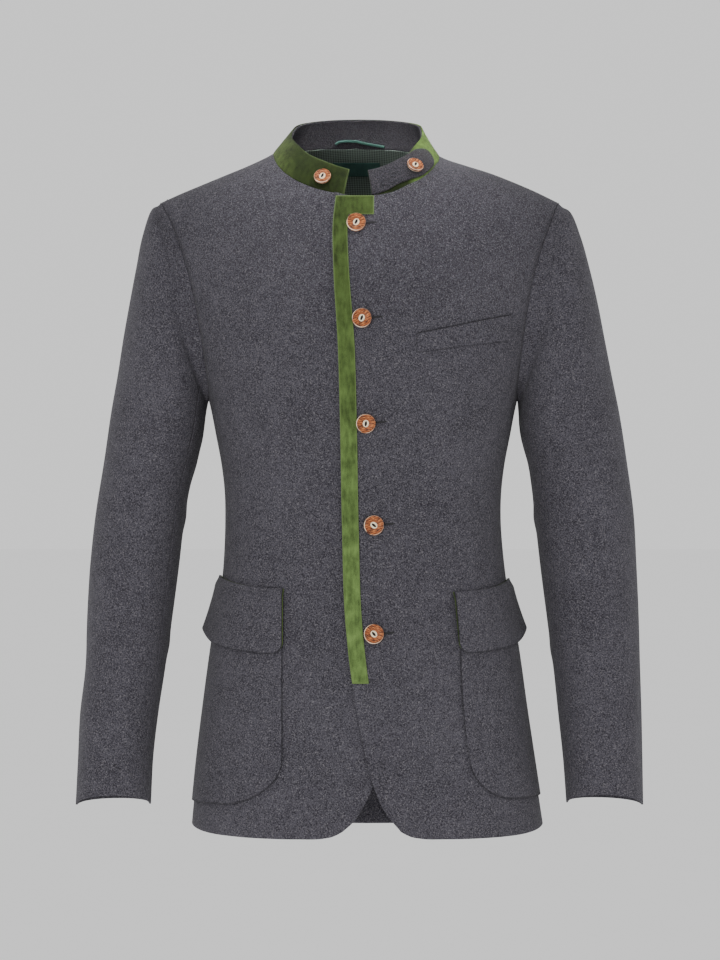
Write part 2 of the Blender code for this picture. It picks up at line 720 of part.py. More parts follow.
def collar_surface(along, up):
    """The collar's outside: along runs from its left front end round the back, up from the seam."""
    low = np.radians(COLLAR_ENDS_AT_NECK[0] + along * np.ptp(COLLAR_ENDS_AT_NECK))
    high = COLLAR_ENDS_AT_TOP[0] + along * np.ptp(COLLAR_ENDS_AT_TOP)
    on_left = high < 180
    mirrored = np.where(on_left, high, 360 - high)
    y, right_out, right_z, left_out, left_z = (
        read(COLLAR_TOP, "angle", name, mirrored) for name in CollarPoint._fields[1:]
    )
    x = np.where(on_left, left_out, -right_out) + COLLAR_TOP_X
    top = np.stack([x, y, np.where(on_left, left_z, right_z)], axis=-1)
    base = neckline(low) + (0, 0, COLLAR_LIFT)
    share = np.asarray(up)[..., None]
    out = unit(np.stack([np.sin(low), -np.cos(low), COLLAR_TILT + 0 * low], axis=-1))
    hollow = COLLAR_HOLLOW * np.exp(-(((along - COLLAR_HOLLOW_AT) / COLLAR_HOLLOW_REACH) ** 2))
    bow = (COLLAR_BOW - hollow)[..., None] * 4 * share * (1 - share)
    return base + (top - base) * share + out * bow


def on_collar(along, up, lift=0.0):
    """Collar points moved out along its normal by lift."""
    along, up = np.broadcast_arrays(np.asarray(along, float), np.asarray(up, float))
    across = collar_surface(along + COLLAR_STEP, up) - collar_surface(along - COLLAR_STEP, up)
    rise = collar_surface(along, up + COLLAR_STEP) - collar_surface(along, up - COLLAR_STEP)
    return collar_surface(along, up) + unit(np.cross(across, rise)) * lift


def build_collar():
    """The suede collar, its loden inner face, and the tab buttoned back on its left side."""
    along = np.linspace(0, 1, COLLAR_COLUMNS + 1)[None, :]
    up = np.linspace(0, 1, COLLAR_ROWS + 1)[:, None]
    cloth("collar_outer", on_collar(along, up), SUEDE, MOSS_SUEDE)
    cloth("collar_inner", on_collar(along, up, -SUEDE - SNUG), LODEN_LIGHT, LODEN_GREY)
    share = np.linspace(0, 1, TAB_ROWS)[:, None]
    low, high = column(TAB, "low"), column(TAB, "high")
    grid = on_collar(column(TAB, "along")[None, :], low + (high - low) * share, TAB_LIFT)
    cloth("collar_tab", grid, LODEN_LIGHT, LODEN_GREY, outward=True)


def across_to_side(front_x, end, height, share):
    """Angles from an upright front edge round to past the side seam, a share of the way."""
    first = np.abs(front_angle(front_x + 0 * height, height))
    return first + (math.radians(end) - first) * share


def rounded(run, radius):
    """How far a lower edge rises at a distance from a rounded corner's upright edge."""
    away = 1 - np.clip(run / radius, 0, 1)
    return radius * (1 - np.sqrt(1 - away**2))


def build_pocket(name, pocket):
    """A patch pocket, its flap and the flap's facing, from the front edge to past the side."""
    side = pocket.side
    down = np.linspace(1, 0, POCKET_ROWS)[:, None]
    share = np.linspace(0, 1, POCKET_COLUMNS) ** POCKET_SPREAD
    bottom = pocket.bottom + rounded(share * POCKET_RUN, pocket.corner)
    top = pocket.flap_top - POCKET_UNDER_FLAP + FLAP_RISE * ease(share, 0, FLAP_RISE_ENDS)
    height = top + (bottom - top) * down
    front_x = pocket.front_x + pocket.low_in * down**POCKET_LEAN_SPREAD
    turn = across_to_side(front_x, POCKET_END, height, share)
    place_on_side("pocket_" + name, turn, height, SEAT, LODEN_LIGHT, LODEN_GREY, side)

    down = np.linspace(1, 0, FLAP_ROWS)[:, None]
    share = np.linspace(0, 1, FLAP_COLUMNS) ** FLAP_SPREAD
    for piece, thick, finish, edge, short, stack in (
        ("flap_facing_", FACING, MOSS_SUEDE, FACING_EDGE, FACING_SHORT, 0.0),
        ("flap_", LODEN_LIGHT, LODEN_GREY, 0.0, 0.0, FACING + SNUG),
    ):
        bottom = pocket.flap_bottom + short + rounded(share * FLAP_RUN, FLAP_CORNER)
        bottom = bottom + FLAP_REAR_RISE * ease(share, FLAP_REAR_STARTS, 1.0)
        height = pocket.flap_top + (bottom - pocket.flap_top) * down
        drop = pocket.flap_top - height
        height = height + FLAP_RISE * ease(share, 0, FLAP_RISE_ENDS)
        front_x = pocket.flap_x + (pocket.flap_low_x - pocket.flap_x) * down - side * edge
        turn = across_to_side(front_x, FLAP_END, height, share)
        clear = SEAT + FLAP_CLEAR * ease(drop, 0, FLAP_SEAM_BAND)
        flare = FLAP_FLARE * ease(turn, FLARE_STARTS, math.pi / 2) * down**FLARE_SPREAD
        place_on_side(piece + name, turn, height, clear + flare + stack, thick, finish, side)


def place_on_side(name, turn, height, lift, thick, finish, side):
    """Cloth over a stretch of the body's side, given its angles, heights and lift."""
    grid = skin(turn * side, height, lift)
    cloth(name, grid[:, ::side], thick, finish, outward=True)


def build_welt():
    """The slanting breast welt on the left front."""
    across = np.linspace(0, 1, WELT_COLUMNS)
    ends = [np.array([getattr(end, name) for end in WELT]) for name in WeltEnd._fields]
    x, top, bottom = (np.interp(across, (0, 1), end) for end in ends)
    height = bottom + (top - bottom) * np.linspace(0, 1, WELT_ROWS)[:, None]
    grid = skin(front_angle(x + 0 * height, height), height, SEAT)
    cloth("chest_welt", grid, LODEN_LIGHT, LODEN_GREY, outward=True)


def button(name, radius, point, normal):
    """A turned horn button on a short shank of thread, standing on a point of the cloth."""
    profile = [(p.radius * radius, p.height * BUTTON_THICK + BUTTON_STAND) for p in BUTTON_PROFILE]
    profile += [(SHANK_RADIUS * radius, SNUG), (0.0, SNUG)]
    points = [(out, 0.0, up) for out, up in profile]
    edges = [(i, i + 1) for i in range(len(points) - 1)]
    mesh = bpy.data.meshes.new(name)
    mesh.from_pydata([[value * MM for value in p] for p in points], edges, [])
    obj = bpy.data.objects.new(name, mesh)
    obj.data.materials.append(material(HORN))
    bpy.data.collections["tyrolean_jacket"].objects.link(obj)
    turning = obj.modifiers.new("turned", "SCREW")
    turning.steps = turning.render_steps = BUTTON_STEPS
    turning.use_merge_vertices = True
    turning.merge_threshold = MERGE_UNDER
    obj.rotation_mode = "QUATERNION"
    obj.rotation_quaternion = Vector(normal).to_track_quat("Z", "Y")
    obj.location = Vector(point) * MM
    return obj


def build_buttons():
    """Five buttons down the front, and one on each side of the collar."""
    for number, spot in enumerate(FRONT_BUTTONS, 1):
        angle = front_angle(np.array(spot.x), np.array(spot.z))
        base = skin(angle, spot.z, LAP_RISE)
        above = skin(angle, spot.z, LAP_RISE + 1)
        button(f"button_{number}", spot.radius, base, above - base)
    for spot in COLLAR_BUTTONS:
        base = on_collar(spot.along, spot.up, spot.lift)
        above = on_collar(spot.along, spot.up, spot.lift + 1)
        button(spot.name, spot.radius, base, above - base)


def build_hanger_loop():
    """The braid loop sewn into the neck seam, a tube along a shallow sag."""
    across = np.linspace(LOOP_LINE[0].across, LOOP_LINE[-1].across, LOOP_POINTS)
    along = 0.5 - LOOP_ALONG_PER_MM * across
    stand = SUEDE + SNUG + LODEN_LIGHT + SNUG + LOOP_RADIUS + LOOP_CLEAR
    points = on_collar(along, read(LOOP_LINE, "across", "up", across), -stand)
    curve = bpy.data.curves.new("hanger_loop", "CURVE")
    curve.dimensions = "3D"
    curve.bevel_depth = LOOP_RADIUS * MM
    curve.bevel_resolution = 2
    curve.use_fill_caps = True
    line = curve.splines.new("POLY")
    line.points.add(len(points) - 1)
    for target, point in zip(line.points, points):
        target.co = (*(point * MM), 1)
    obj = bpy.data.objects.new("hanger_loop", curve)
    obj.data.materials.append(material(TEAL))
    bpy.data.collections["tyrolean_jacket"].objects.link(obj)


def main():
    """Clear the scene and build every piece."""
    for old in list(bpy.data.objects):
        bpy.data.objects.remove(old)
    jacket = bpy.data.collections.new("tyrolean_jacket")
    bpy.context.scene.collection.children.link(jacket)
    build_fronts()
    build_back()
    build_sleeve("left", SLEEVE_LEFT, 1)
    build_sleeve("right", SLEEVE_RIGHT, -1)
    build_collar()
    for name, pocket in POCKETS.items():
        build_pocket(name, pocket)
    build_welt()
    build_buttons()
    build_hanger_loop()


main()
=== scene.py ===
"""Looks of a tyrolean loden jacket in its worn form, buttoned up, with nobody inside.

Each cut piece is a thin closed shell over a stretch of one surface: the body, a sleeve or the
collar. Those surfaces are worked out from short tables of sizes in millimetres, and what lies
on a panel is the same surface moved out. Soft troughs and ridges are laid over them.

Frame: +Z up, +X to the wearer's left, the front faces -Y, the origin between the side-neck
points.
"""

import logging
import math
from collections.abc import Callable
from dataclasses import dataclass, field
from enum import Enum

import bmesh
import bpy
import numpy as np
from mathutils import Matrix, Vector


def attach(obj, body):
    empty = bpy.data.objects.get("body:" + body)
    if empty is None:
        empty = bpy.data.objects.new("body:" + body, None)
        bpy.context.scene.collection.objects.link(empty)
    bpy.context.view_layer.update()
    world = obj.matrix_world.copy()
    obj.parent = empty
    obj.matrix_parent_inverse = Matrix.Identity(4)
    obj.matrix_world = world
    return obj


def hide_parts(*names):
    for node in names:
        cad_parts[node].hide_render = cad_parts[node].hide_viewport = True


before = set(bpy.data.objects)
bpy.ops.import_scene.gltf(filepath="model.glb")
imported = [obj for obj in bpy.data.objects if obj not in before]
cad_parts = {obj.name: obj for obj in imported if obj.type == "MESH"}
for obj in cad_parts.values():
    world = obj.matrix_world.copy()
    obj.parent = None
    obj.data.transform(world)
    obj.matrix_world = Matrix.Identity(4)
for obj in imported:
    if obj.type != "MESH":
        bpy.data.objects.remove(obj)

Array = np.ndarray
Pair = tuple[float, float]
Place = tuple[float, float, float]
Piece = bpy.types.Object
Material = bpy.types.Material
Socket = bpy.types.NodeSocket
MM = 0.001
BODY = "root"
TURN = 2 * math.pi
HALF_TURN = math.pi
QUARTER_TURN = math.pi / 2
log = logging.getLogger("jacket")


# ---- shared arithmetic


def ease(value: Array | float, start: float | Array, end: float | Array) -> Array:
    """Step smoothly from 0 to 1: t * t * (3 - 2 t), where t runs from start to end.

    Args:
        value: where to read the step.
        start: the value at which it leaves 0.
        end: the value at which it reaches 1.

    Returns:
        The step, between 0 and 1.
    """
    t = np.clip((np.asarray(value, float) - start) / (end - start), 0, 1)
    return t * t * (3 - 2 * t)


def unit(vectors: Array) -> Array:
    """Scale vectors to length 1."""
    return vectors / np.maximum(np.linalg.norm(vectors, axis=-1, keepdims=True), 1e-9)


def spread(start: float, end: float, count: int) -> Array:
    """Evenly spaced values with both ends."""
    return np.linspace(start, end, count)


def full_turn(count: int) -> Array:
    """Evenly spaced angles once round, the first not repeated."""
    return spread(0, TURN, count + 1)[:-1]


def bell(distance: Array, width: float) -> Array:
    """exp(-(distance / width)^2): 1 on a line and nearly 0 at two widths from it."""
    return np.exp(-((distance / width) ** 2))


def through(stations: Array, values: Array, at: Array) -> Array:
    """Read rows of values with a cubic between them, its slopes those of the neighbouring rows.

    Args:
        stations: where each row stands, rising.
        values: the rows, each a number or an array.
        at: where to read them, within the stations.

    Returns:
        h00 v0 + h10 step s0 + h01 v1 + h11 step s1, the Hermite form of the cubic.
    """
    slopes = np.gradient(values, stations, axis=0)
    low = np.clip(np.searchsorted(stations, at, side="right") - 1, 0, len(stations) - 2)
    each = (..., *(None,) * (values.ndim - 1))
    step = (stations[low + 1] - stations[low])[each]
    t = (at - stations[low])[each] / step
    first = (1 + 2 * t) * (1 - t) ** 2 * values[low] + t * (1 - t) ** 2 * step * slopes[low]
    return first + t**2 * ((3 - 2 * t) * values[low + 1] + (t - 1) * step * slopes[low + 1])


class Table:
    """Rows of named sizes that are read smoothly between the rows."""

    def __init__(self, names: str, *rows: tuple[float, ...]) -> None:
        """Keep the rows as columns; the first column holds the stations."""
        self.columns = dict(zip(names.split(), np.array(rows, float).T))
        self.stations = next(iter(self.columns.values()))

    def read(self, name: str, at: Array | float) -> Array:
        """Read a column at values of the station column, held at its first and last row."""
        at = np.clip(np.asarray(at, float), self.stations[0], self.stations[-1])
        return through(self.stations, self.columns[name], at)


class Side(Enum):
    """The wearer's sides, with the sign of X on each."""

    LEFT = 1
    RIGHT = -1

    @property
    def word(self) -> str:
        """The side's name as it stands in the names of pieces and nodes."""
        return self.name.lower()


class Face(Enum):
    """The two faces of the body."""

    FRONT = "front"
    BACK = "back"


@dataclass(frozen=True)
class Crease:
    """A soft trough, or a ridge where depth is above 0, along a line on the cloth.

    The line runs from start to end in (run round the body, height) or, on a sleeve, in (run
    round the arm, way down it), all in millimetres.
    """

    start: Pair
    end: Pair
    width: float
    depth: float
    tip: float = 0.03
    fade: float = 0.7

    def rise(self, run: Array, way: Array, girth: float) -> Array:
        """How far the cloth moves out: depth exp(-(d / width)^2) sin(pi t)^fade.

        Args:
            run: distance round, which starts again after each girth.
            way: the other coordinate.
            girth: the whole distance round.

        Returns:
            Millimetres along the normal. d is the distance to the line and t the share of
            the line at its nearest point, kept a tip away from 0 and 1.
        """
        middle = (self.start[0] + self.end[0]) / 2
        run = (run - middle + girth / 2) % girth - girth / 2 + middle
        line = np.subtract(self.end, self.start)
        length = float(np.hypot(*line))
        along = ((run - self.start[0]) * line[0] + (way - self.start[1]) * line[1]) / length
        off = ((run - self.start[0]) * line[1] - (way - self.start[1]) * line[0]) / length
        share = np.clip(along / length, 0, 1)
        past = along - share * length
        spill = np.exp(-((off / self.width) ** 2) - (past / self.width) ** 2)
        held = np.clip(share, self.tip, 1 - self.tip)
        return self.depth * spill * np.sin(HALF_TURN * held) ** self.fade


# ---- meshes


EDGE_TURNS = (45, 90, 135)


@dataclass
class Sheet:
    """A stretch of surface in rows and columns that becomes a closed cloth shell.

    Columns run anticlockwise seen from above and rows run up, which faces the sheet out.
    """

    name: str
    points: Array
    thick: float | Array
    outward: bool = False
    flip: bool = False
    keep: Array | None = None
    bulge: float = 0.3
    shade: Array | None = None

    def normals(self) -> Array:
        """Normals by central differences: (column step) x (row step), made unit vectors.

        Returns:
            One vector a point.
        """
        across = np.gradient(self.points, axis=1)
        up = np.gradient(self.points, axis=0)
        return unit(np.cross(across, up)) * (-1 if self.flip else 1)

    def steps(self) -> tuple[Array, Array]:
        """Distances between neighbours, along the rows and along the columns."""
        return tuple(np.linalg.norm(np.diff(self.points, axis=a), axis=-1) for a in (1, 0))

    def plan(self) -> Array:
        """Distances along rows and columns in metres, for patterns that follow the cloth.

        Returns:
            One (u, v) a point.
        """
        rows, columns = self.steps()
        across = np.pad(rows.cumsum(axis=1), ((0, 0), (1, 0)))
        up = np.pad(columns.cumsum(axis=0), ((1, 0), (0, 0)))
        return np.stack([across - across.mean(axis=1, keepdims=True), up], axis=-1) * MM

    def build(self) -> Piece:
        """Make the shell: an outer and an inner layer, joined all round by a rounded edge.

        An edge point lies at m + n (t / 2) cos a + e b sin a, with m the middle of the wall,
        n the normal, e the way out of the sheet, t its thickness, b the bulge and a a turn.

        Returns:
            The new mesh object, at the origin.
        """
        rows, columns = self.points.shape[:2]
        index = np.arange(rows * columns).reshape(rows, columns)
        quads = np.stack([index[:-1, :-1], index[:-1, 1:], index[1:, 1:], index[1:, :-1]], axis=-1)
        quads = quads[self.keep] if self.keep is not None else quads.reshape(-1, 4)
        used, quads = np.unique(quads[:, ::-1] if self.flip else quads, return_inverse=True)
        quads = quads.reshape(-1, 4)
        normal = self.normals().reshape(-1, 3)[used]
        thick = np.broadcast_to(self.thick, (rows, columns)).reshape(-1, 1)[used]
        outer = self.points.reshape(-1, 3)[used] + normal * (thick if self.outward else 0)

        start, end = border_edges(quads)
        way = np.cross(unit(outer[end] - outer[start]), normal[start])
        out = np.zeros_like(outer)
        np.add.at(out, start, way)
        np.add.at(out, end, way)
        rim = np.unique(start)
        middle = (outer - normal * thick / 2)[rim]
        layers = [outer, outer - normal * thick]
        for turn in np.radians(EDGE_TURNS):
            lean, reach = math.cos(turn) * thick[rim] / 2, math.sin(turn) * self.bulge
            layers.append(middle + normal[rim] * lean + unit(out[rim]) * reach)

        total = len(outer)
        place = np.full(total, -1)
        place[rim] = np.arange(len(rim))
        bases = [2 * total + k * len(rim) for k in range(len(EDGE_TURNS))]
        rings = [(start, end)] + [(base + place[start], base + place[end]) for base in bases]
        rings.append((total + start, total + end))
        faces = [quads, quads[:, ::-1] + total]
        faces += [np.stack([b, a, c, d], axis=-1) for (a, b), (c, d) in zip(rings, rings[1:])]
        again = np.concatenate([np.arange(total)] * 2 + [rim] * len(EDGE_TURNS))
        plan = self.plan().reshape(-1, 2)[used][again]
        shade = None
        if self.shade is not None:
            shade = np.broadcast_to(self.shade, (rows, columns)).reshape(-1)[used][again]
        return put_mesh(self.name, np.concatenate(layers), np.concatenate(faces), plan, shade)


def border_edges(quads: Array) -> tuple[Array, Array]:
    """First and second vertex of each edge that only one face has, in the face's direction.

    Args:
        quads: four vertex numbers a face.

    Returns:
        The vertex that each of them starts from, and the one it ends at.
    """
    ends = np.stack([quads, np.roll(quads, -1, axis=1)], axis=-1).reshape(-1, 2)
    pairs = np.sort(ends, axis=1)
    _, first, count = np.unique(pairs, axis=0, return_index=True, return_counts=True)
    border = ends[first[count == 1]]
    return border[:, 0], border[:, 1]


def put_mesh(
    name: str, points: Array, quads: Array, plan: Array | None = None, shade: Array | None = None
) -> Piece:
    """Put whole arrays into a new smooth mesh object.

    Args:
        name: the object's name.
        points: vertices in millimetres.
        quads: four vertex numbers a face.
        plan: one (u, v) a vertex, kept as the UV map "cloth".
        shade: one value a vertex, kept as the attribute "shade".

    Returns:
        The object, linked to the scene.
    """
    mesh = bpy.data.meshes.new(name)
    mesh.vertices.add(len(points))
    mesh.vertices.foreach_set("co", (points * MM).astype(np.float32).reshape(-1))
    mesh.loops.add(quads.size)
    mesh.loops.foreach_set("vertex_index", quads.astype(np.int32).reshape(-1))
    mesh.polygons.add(len(quads))
    mesh.polygons.foreach_set("loop_start", np.arange(0, quads.size, 4, dtype=np.int32))
    mesh.update(calc_edges=True)
    if plan is not None:
        layer = mesh.uv_layers.new(name="cloth")
        layer.data.foreach_set("uv", plan[quads.reshape(-1)].astype(np.float32).reshape(-1))
    if shade is not None:
        values = mesh.attributes.new("shade", "FLOAT", "POINT")
        values.data.foreach_set("value", shade.astype(np.float32))
    mesh.validate()
    mesh.shade_smooth()
    obj = bpy.data.objects.new(name, mesh)
    bpy.context.scene.collection.objects.link(obj)
    return obj


# A direction that no path here runs in, from which a tube's cross directions are worked out
NOT_ALONG = np.array([0.13, 0.31, 0.94])


def tube(
    name: str, path: Array, radius: float | Array, sides: int = 10, closed: bool = False
) -> Piece:
    """Carry a circle along a path: p + radius (cos a, sin a) in the plane across the path.

    Args:
        name: the object's name.
        path: points in millimetres.
        radius: one radius, or one for each point.
        sides: how many sides the tube has.
        closed: whether the path's last point joins its first; otherwise both ends are capped.

    Returns:
        The tube.
    """
    after_less_before = np.roll(path, -1, axis=0) - np.roll(path, 1, axis=0)
    ahead = unit(after_less_before if closed else np.gradient(path, axis=0))
    up = unit(np.cross(ahead, NOT_ALONG + 0 * ahead))
    side = np.cross(ahead, up)
    around = full_turn(sides)
    radius = np.broadcast_to(radius, len(path))[:, None, None]
    ring = np.cos(around)[:, None] * up[:, None] + np.sin(around)[:, None] * side[:, None]
    points = path[:, None] + ring * radius
    if not closed:
        ends = [path[end, None, None] + 0 * points[:1] for end in (0, -1)]
        points = np.concatenate([ends[0], points, ends[1]])
    index = np.arange(len(points) * sides).reshape(len(points), sides)
    first, last = (index, np.roll(index, -1, axis=0)) if closed else (index[:-1], index[1:])
    quads = np.stack([first, last, np.roll(last, -1, axis=1), np.roll(first, -1, axis=1)], axis=-1)
    length = np.linalg.norm(np.diff(points.mean(axis=1), axis=0), axis=-1).cumsum()
    along = np.concatenate([[0], length])[:, None] + 0 * points[..., 0]
    plan = np.stack([along, 0 * along + around], axis=-1) * MM
    obj = put_mesh(name, points.reshape(-1, 3), quads.reshape(-1, 4), plan.reshape(-1, 2))
    close_poles(obj)
    return obj


@dataclass(frozen=True)
class Seat:
    """A point of the cloth with its own directions: across, up and out."""

    point: Array
    across: Array
    up: Array
    out: Array

    @classmethod
    def on(cls, point: Array, above: Array) -> "Seat":
        """The seat at a point, out towards a second one: across = z x out, up = out x across.

        Args:
            point: where the seat lies.
            above: a point further out.

        Returns:
            The seat.
        """
        out = unit(np.asarray(above) - point)
        across = unit(np.cross((0, 0, 1), out))
        return cls(np.asarray(point), across, np.cross(out, across), out)

    def place(self, x: Array, y: Array, height: Array) -> Array:
        """Points at x across, y up and a height out.

        Args:
            x: millimetres across.
            y: millimetres up.
            height: millimetres out.

        Returns:
            Points in millimetres.
        """
        x, y, height = np.broadcast_arrays(x, y, height)
        return self.point + (
            self.across * x[..., None] + self.up * y[..., None] + self.out * height[..., None]
        )


BUTTON_SIDES = 56


def turned(
    name: str, seat: Seat, profile: Array, oval: Pair = (1, 1), lean: float = 0.0,
    grain: float = 0.0, shade: Callable[[Array, Array], Array] | None = None,
) -> Piece:
    """Turn a profile of (radius, height) round a seat: x = r a cos t, y = r b sin t, leaning.

    Args:
        name: the object's name.
        seat: where it stands.
        profile: rows of (radius, height) in millimetres, the first and last on the axis.
        oval: a and b, which stretch it.
        lean: how far the oval leans over, in radians.
        grain: direction of the pattern, in radians.
        shade: gives the attribute "shade" at a radius and a turn.

    Returns:
        The turned object.
    """
    turn = full_turn(BUTTON_SIDES)[None, :]
    radius, height = profile[:, :1], profile[:, 1:]
    flat_x, flat_y = radius * oval[0] * np.cos(turn), radius * oval[1] * np.sin(turn)
    x = flat_x * math.cos(lean) - flat_y * math.sin(lean)
    y = flat_x * math.sin(lean) + flat_y * math.cos(lean)
    points = seat.place(x, y, height).reshape(-1, 3)
    index = np.arange(len(points)).reshape(len(profile), BUTTON_SIDES)
    ahead = np.roll(index, -1, axis=1)
    quads = np.stack([index[1:], ahead[1:], ahead[:-1], index[:-1]], axis=-1).reshape(-1, 4)
    u = x * math.cos(grain) + y * math.sin(grain)
    v = y * math.cos(grain) - x * math.sin(grain)
    plan = np.stack([u, v], axis=-1).reshape(-1, 2) * MM
    values = None if shade is None else shade(radius + 0 * turn, turn + 0 * radius).reshape(-1)
    obj = put_mesh(name, points, quads, plan, values)
    close_poles(obj)
    return obj


def close_poles(obj: Piece) -> None:
    """Merge the rings that end in one point, and face the surface out.

    Args:
        obj: the object, whose mesh is changed.
    """
    one_point = 1e-6
    work = bmesh.new()
    work.from_mesh(obj.data)
    bmesh.ops.remove_doubles(work, verts=work.verts, dist=one_point)
    bmesh.ops.recalc_face_normals(work, faces=work.faces)
    work.to_mesh(obj.data)
    work.free()
    obj.data.shade_smooth()


# ---- the torso's surface

TORSO_RINGS = Table(
    "height half_width front back shift",
    (-745, 194.4, 113, 113, 7.3), (-662, 184.0, 116, 114, 5.0), (-607, 176.5, 117, 113, 4.2),
    (-545, 168.0, 115, 108, 4.0), (-500, 161.0, 112, 103, 3.8), (-460, 155.5, 109, 100, 3.4),
    (-432, 153.0, 108, 99, 2.8), (-400, 151.5, 108, 99, 2.2), (-371, 152.0, 109, 101, 2.2),
    (-341, 155.3, 112, 104, 2.2), (-308, 161.5, 116, 109, 2.3), (-270, 169.2, 120, 114, 2.2),
    (-240, 178.0, 122, 117, 1.8), (-195, 189.7, 123, 119, 1.2), (-163, 198.0, 122, 119, 0.8),
    (-128, 207.7, 120, 118, 0.4), (-101, 214.8, 119, 117, 0.2), (-73, 224.8, 118, 116, 0.0),
    (-53, 233.0, 118, 116, -1.4), (0, 250.0, 118, 116, -5.2), (40, 262.0, 118, 116, -5.6),
)
# The left shoulder starts lower at the neck and then runs flatter: left_rise is added there
SHOULDER_LINE = Table(
    "out height left_rise",
    (0, 34, 0), (45, 27, -0.8), (72, 15, -1.8), (91, 2.8, -2.6), (120, -11, 0.5), (145, -21, 2.6),
    (170, -31, 2.7), (195, -41, 1.6), (218, -51, 0), (240, -61, 0), (265, -73, 0),
)
ARMHOLE = Table(
    "height front back",
    (-270, 169.2, 169.2), (-262, 168.5, 169.9), (-245, 169.6, 172.5), (-225, 172.0, 176.5),
    (-195, 176.0, 181.5), (-163, 181.0, 186.5), (-128, 189.0, 192.5), (-101, 197.6, 199.5),
    (-73, 208.0, 209.0), (-51, 218.0, 218.0),
)
LAP_EDGE = Table(
    "height x",
    (-733, 43.0), (-723.8, 34.7), (-713, 26.4), (-698.3, 18.9), (-683.8, 13.3), (-630, 0.5),
    (-574.5, -9.6), (-512, -16.6), (-407, -20.4), (-302, -22.3), (-217, -24.6), (-126, -29.6),
    (-82, -30.1), (-46, -26.3),
)
UNDER_EDGE = Table(
    "height x",
    (-734, -20.4), (-724.5, -9.7), (-713, -1.1), (-701, 5.4), (-683.8, 13.3), (-665, 21.0),
    (-640, 26.5), (-600, 28.0), (-46, 28.0),
)
FRONT_HEM = Table(
    "past_corner height",
    (0, -733.5), (10, -738.9), (21, -741.2), (50, -742.2), (100, -741.6), (160, -738.6),
    (220, -738.4),
)
# Lines across the body as seen from the front: x and z of both ends, width, depth
TORSO_CREASES = {
    Face.FRONT: (
        (118, -300, 142, -262, 9, -2.0), (96, -352, 140, -402, 12, -1.4),
        (84, -376, 134, -438, 10, 1.2), (100, -428, 142, -462, 9, -1.5),
        (-98, -372, -136, -420, 12, -1.3), (-90, -404, -138, -452, 11, 1.1),
        (-112, -296, -142, -258, 10, -1.8), (-70, -180, -96, -330, 26, 1.6),
        (70, -250, 92, -360, 24, 1.4), (20, -240, 88, -246, 7, -0.7),
        (34, -318, 70, -372, 9, -0.7), (-40, -318, -84, -340, 10, -0.8),
        (-60, -470, -74, -700, 24, 1.3), (40, -470, 58, -690, 22, 1.2),
        (12, -600, 22, -690, 8, -0.9),
    ),
    Face.BACK: (
        (0, -120, 0, -420, 30, -1.6), (84, -150, 98, -330, 26, 1.5),
        (-84, -160, -100, -340, 26, 1.6), (30, -392, 128, -414, 11, -1.8),
        (-24, -402, -126, -424, 11, -1.8), (40, -428, 120, -444, 12, 1.4),
        (-44, -438, -118, -458, 12, 1.3), (66, -500, 84, -730, 26, 1.8),
        (-62, -500, -80, -730, 26, 1.8), (18, -560, 24, -735, 20, -1.5),
        (120, -262, 150, -302, 10, -1.6), (-118, -262, -150, -306, 10, -1.6),
    ),
}


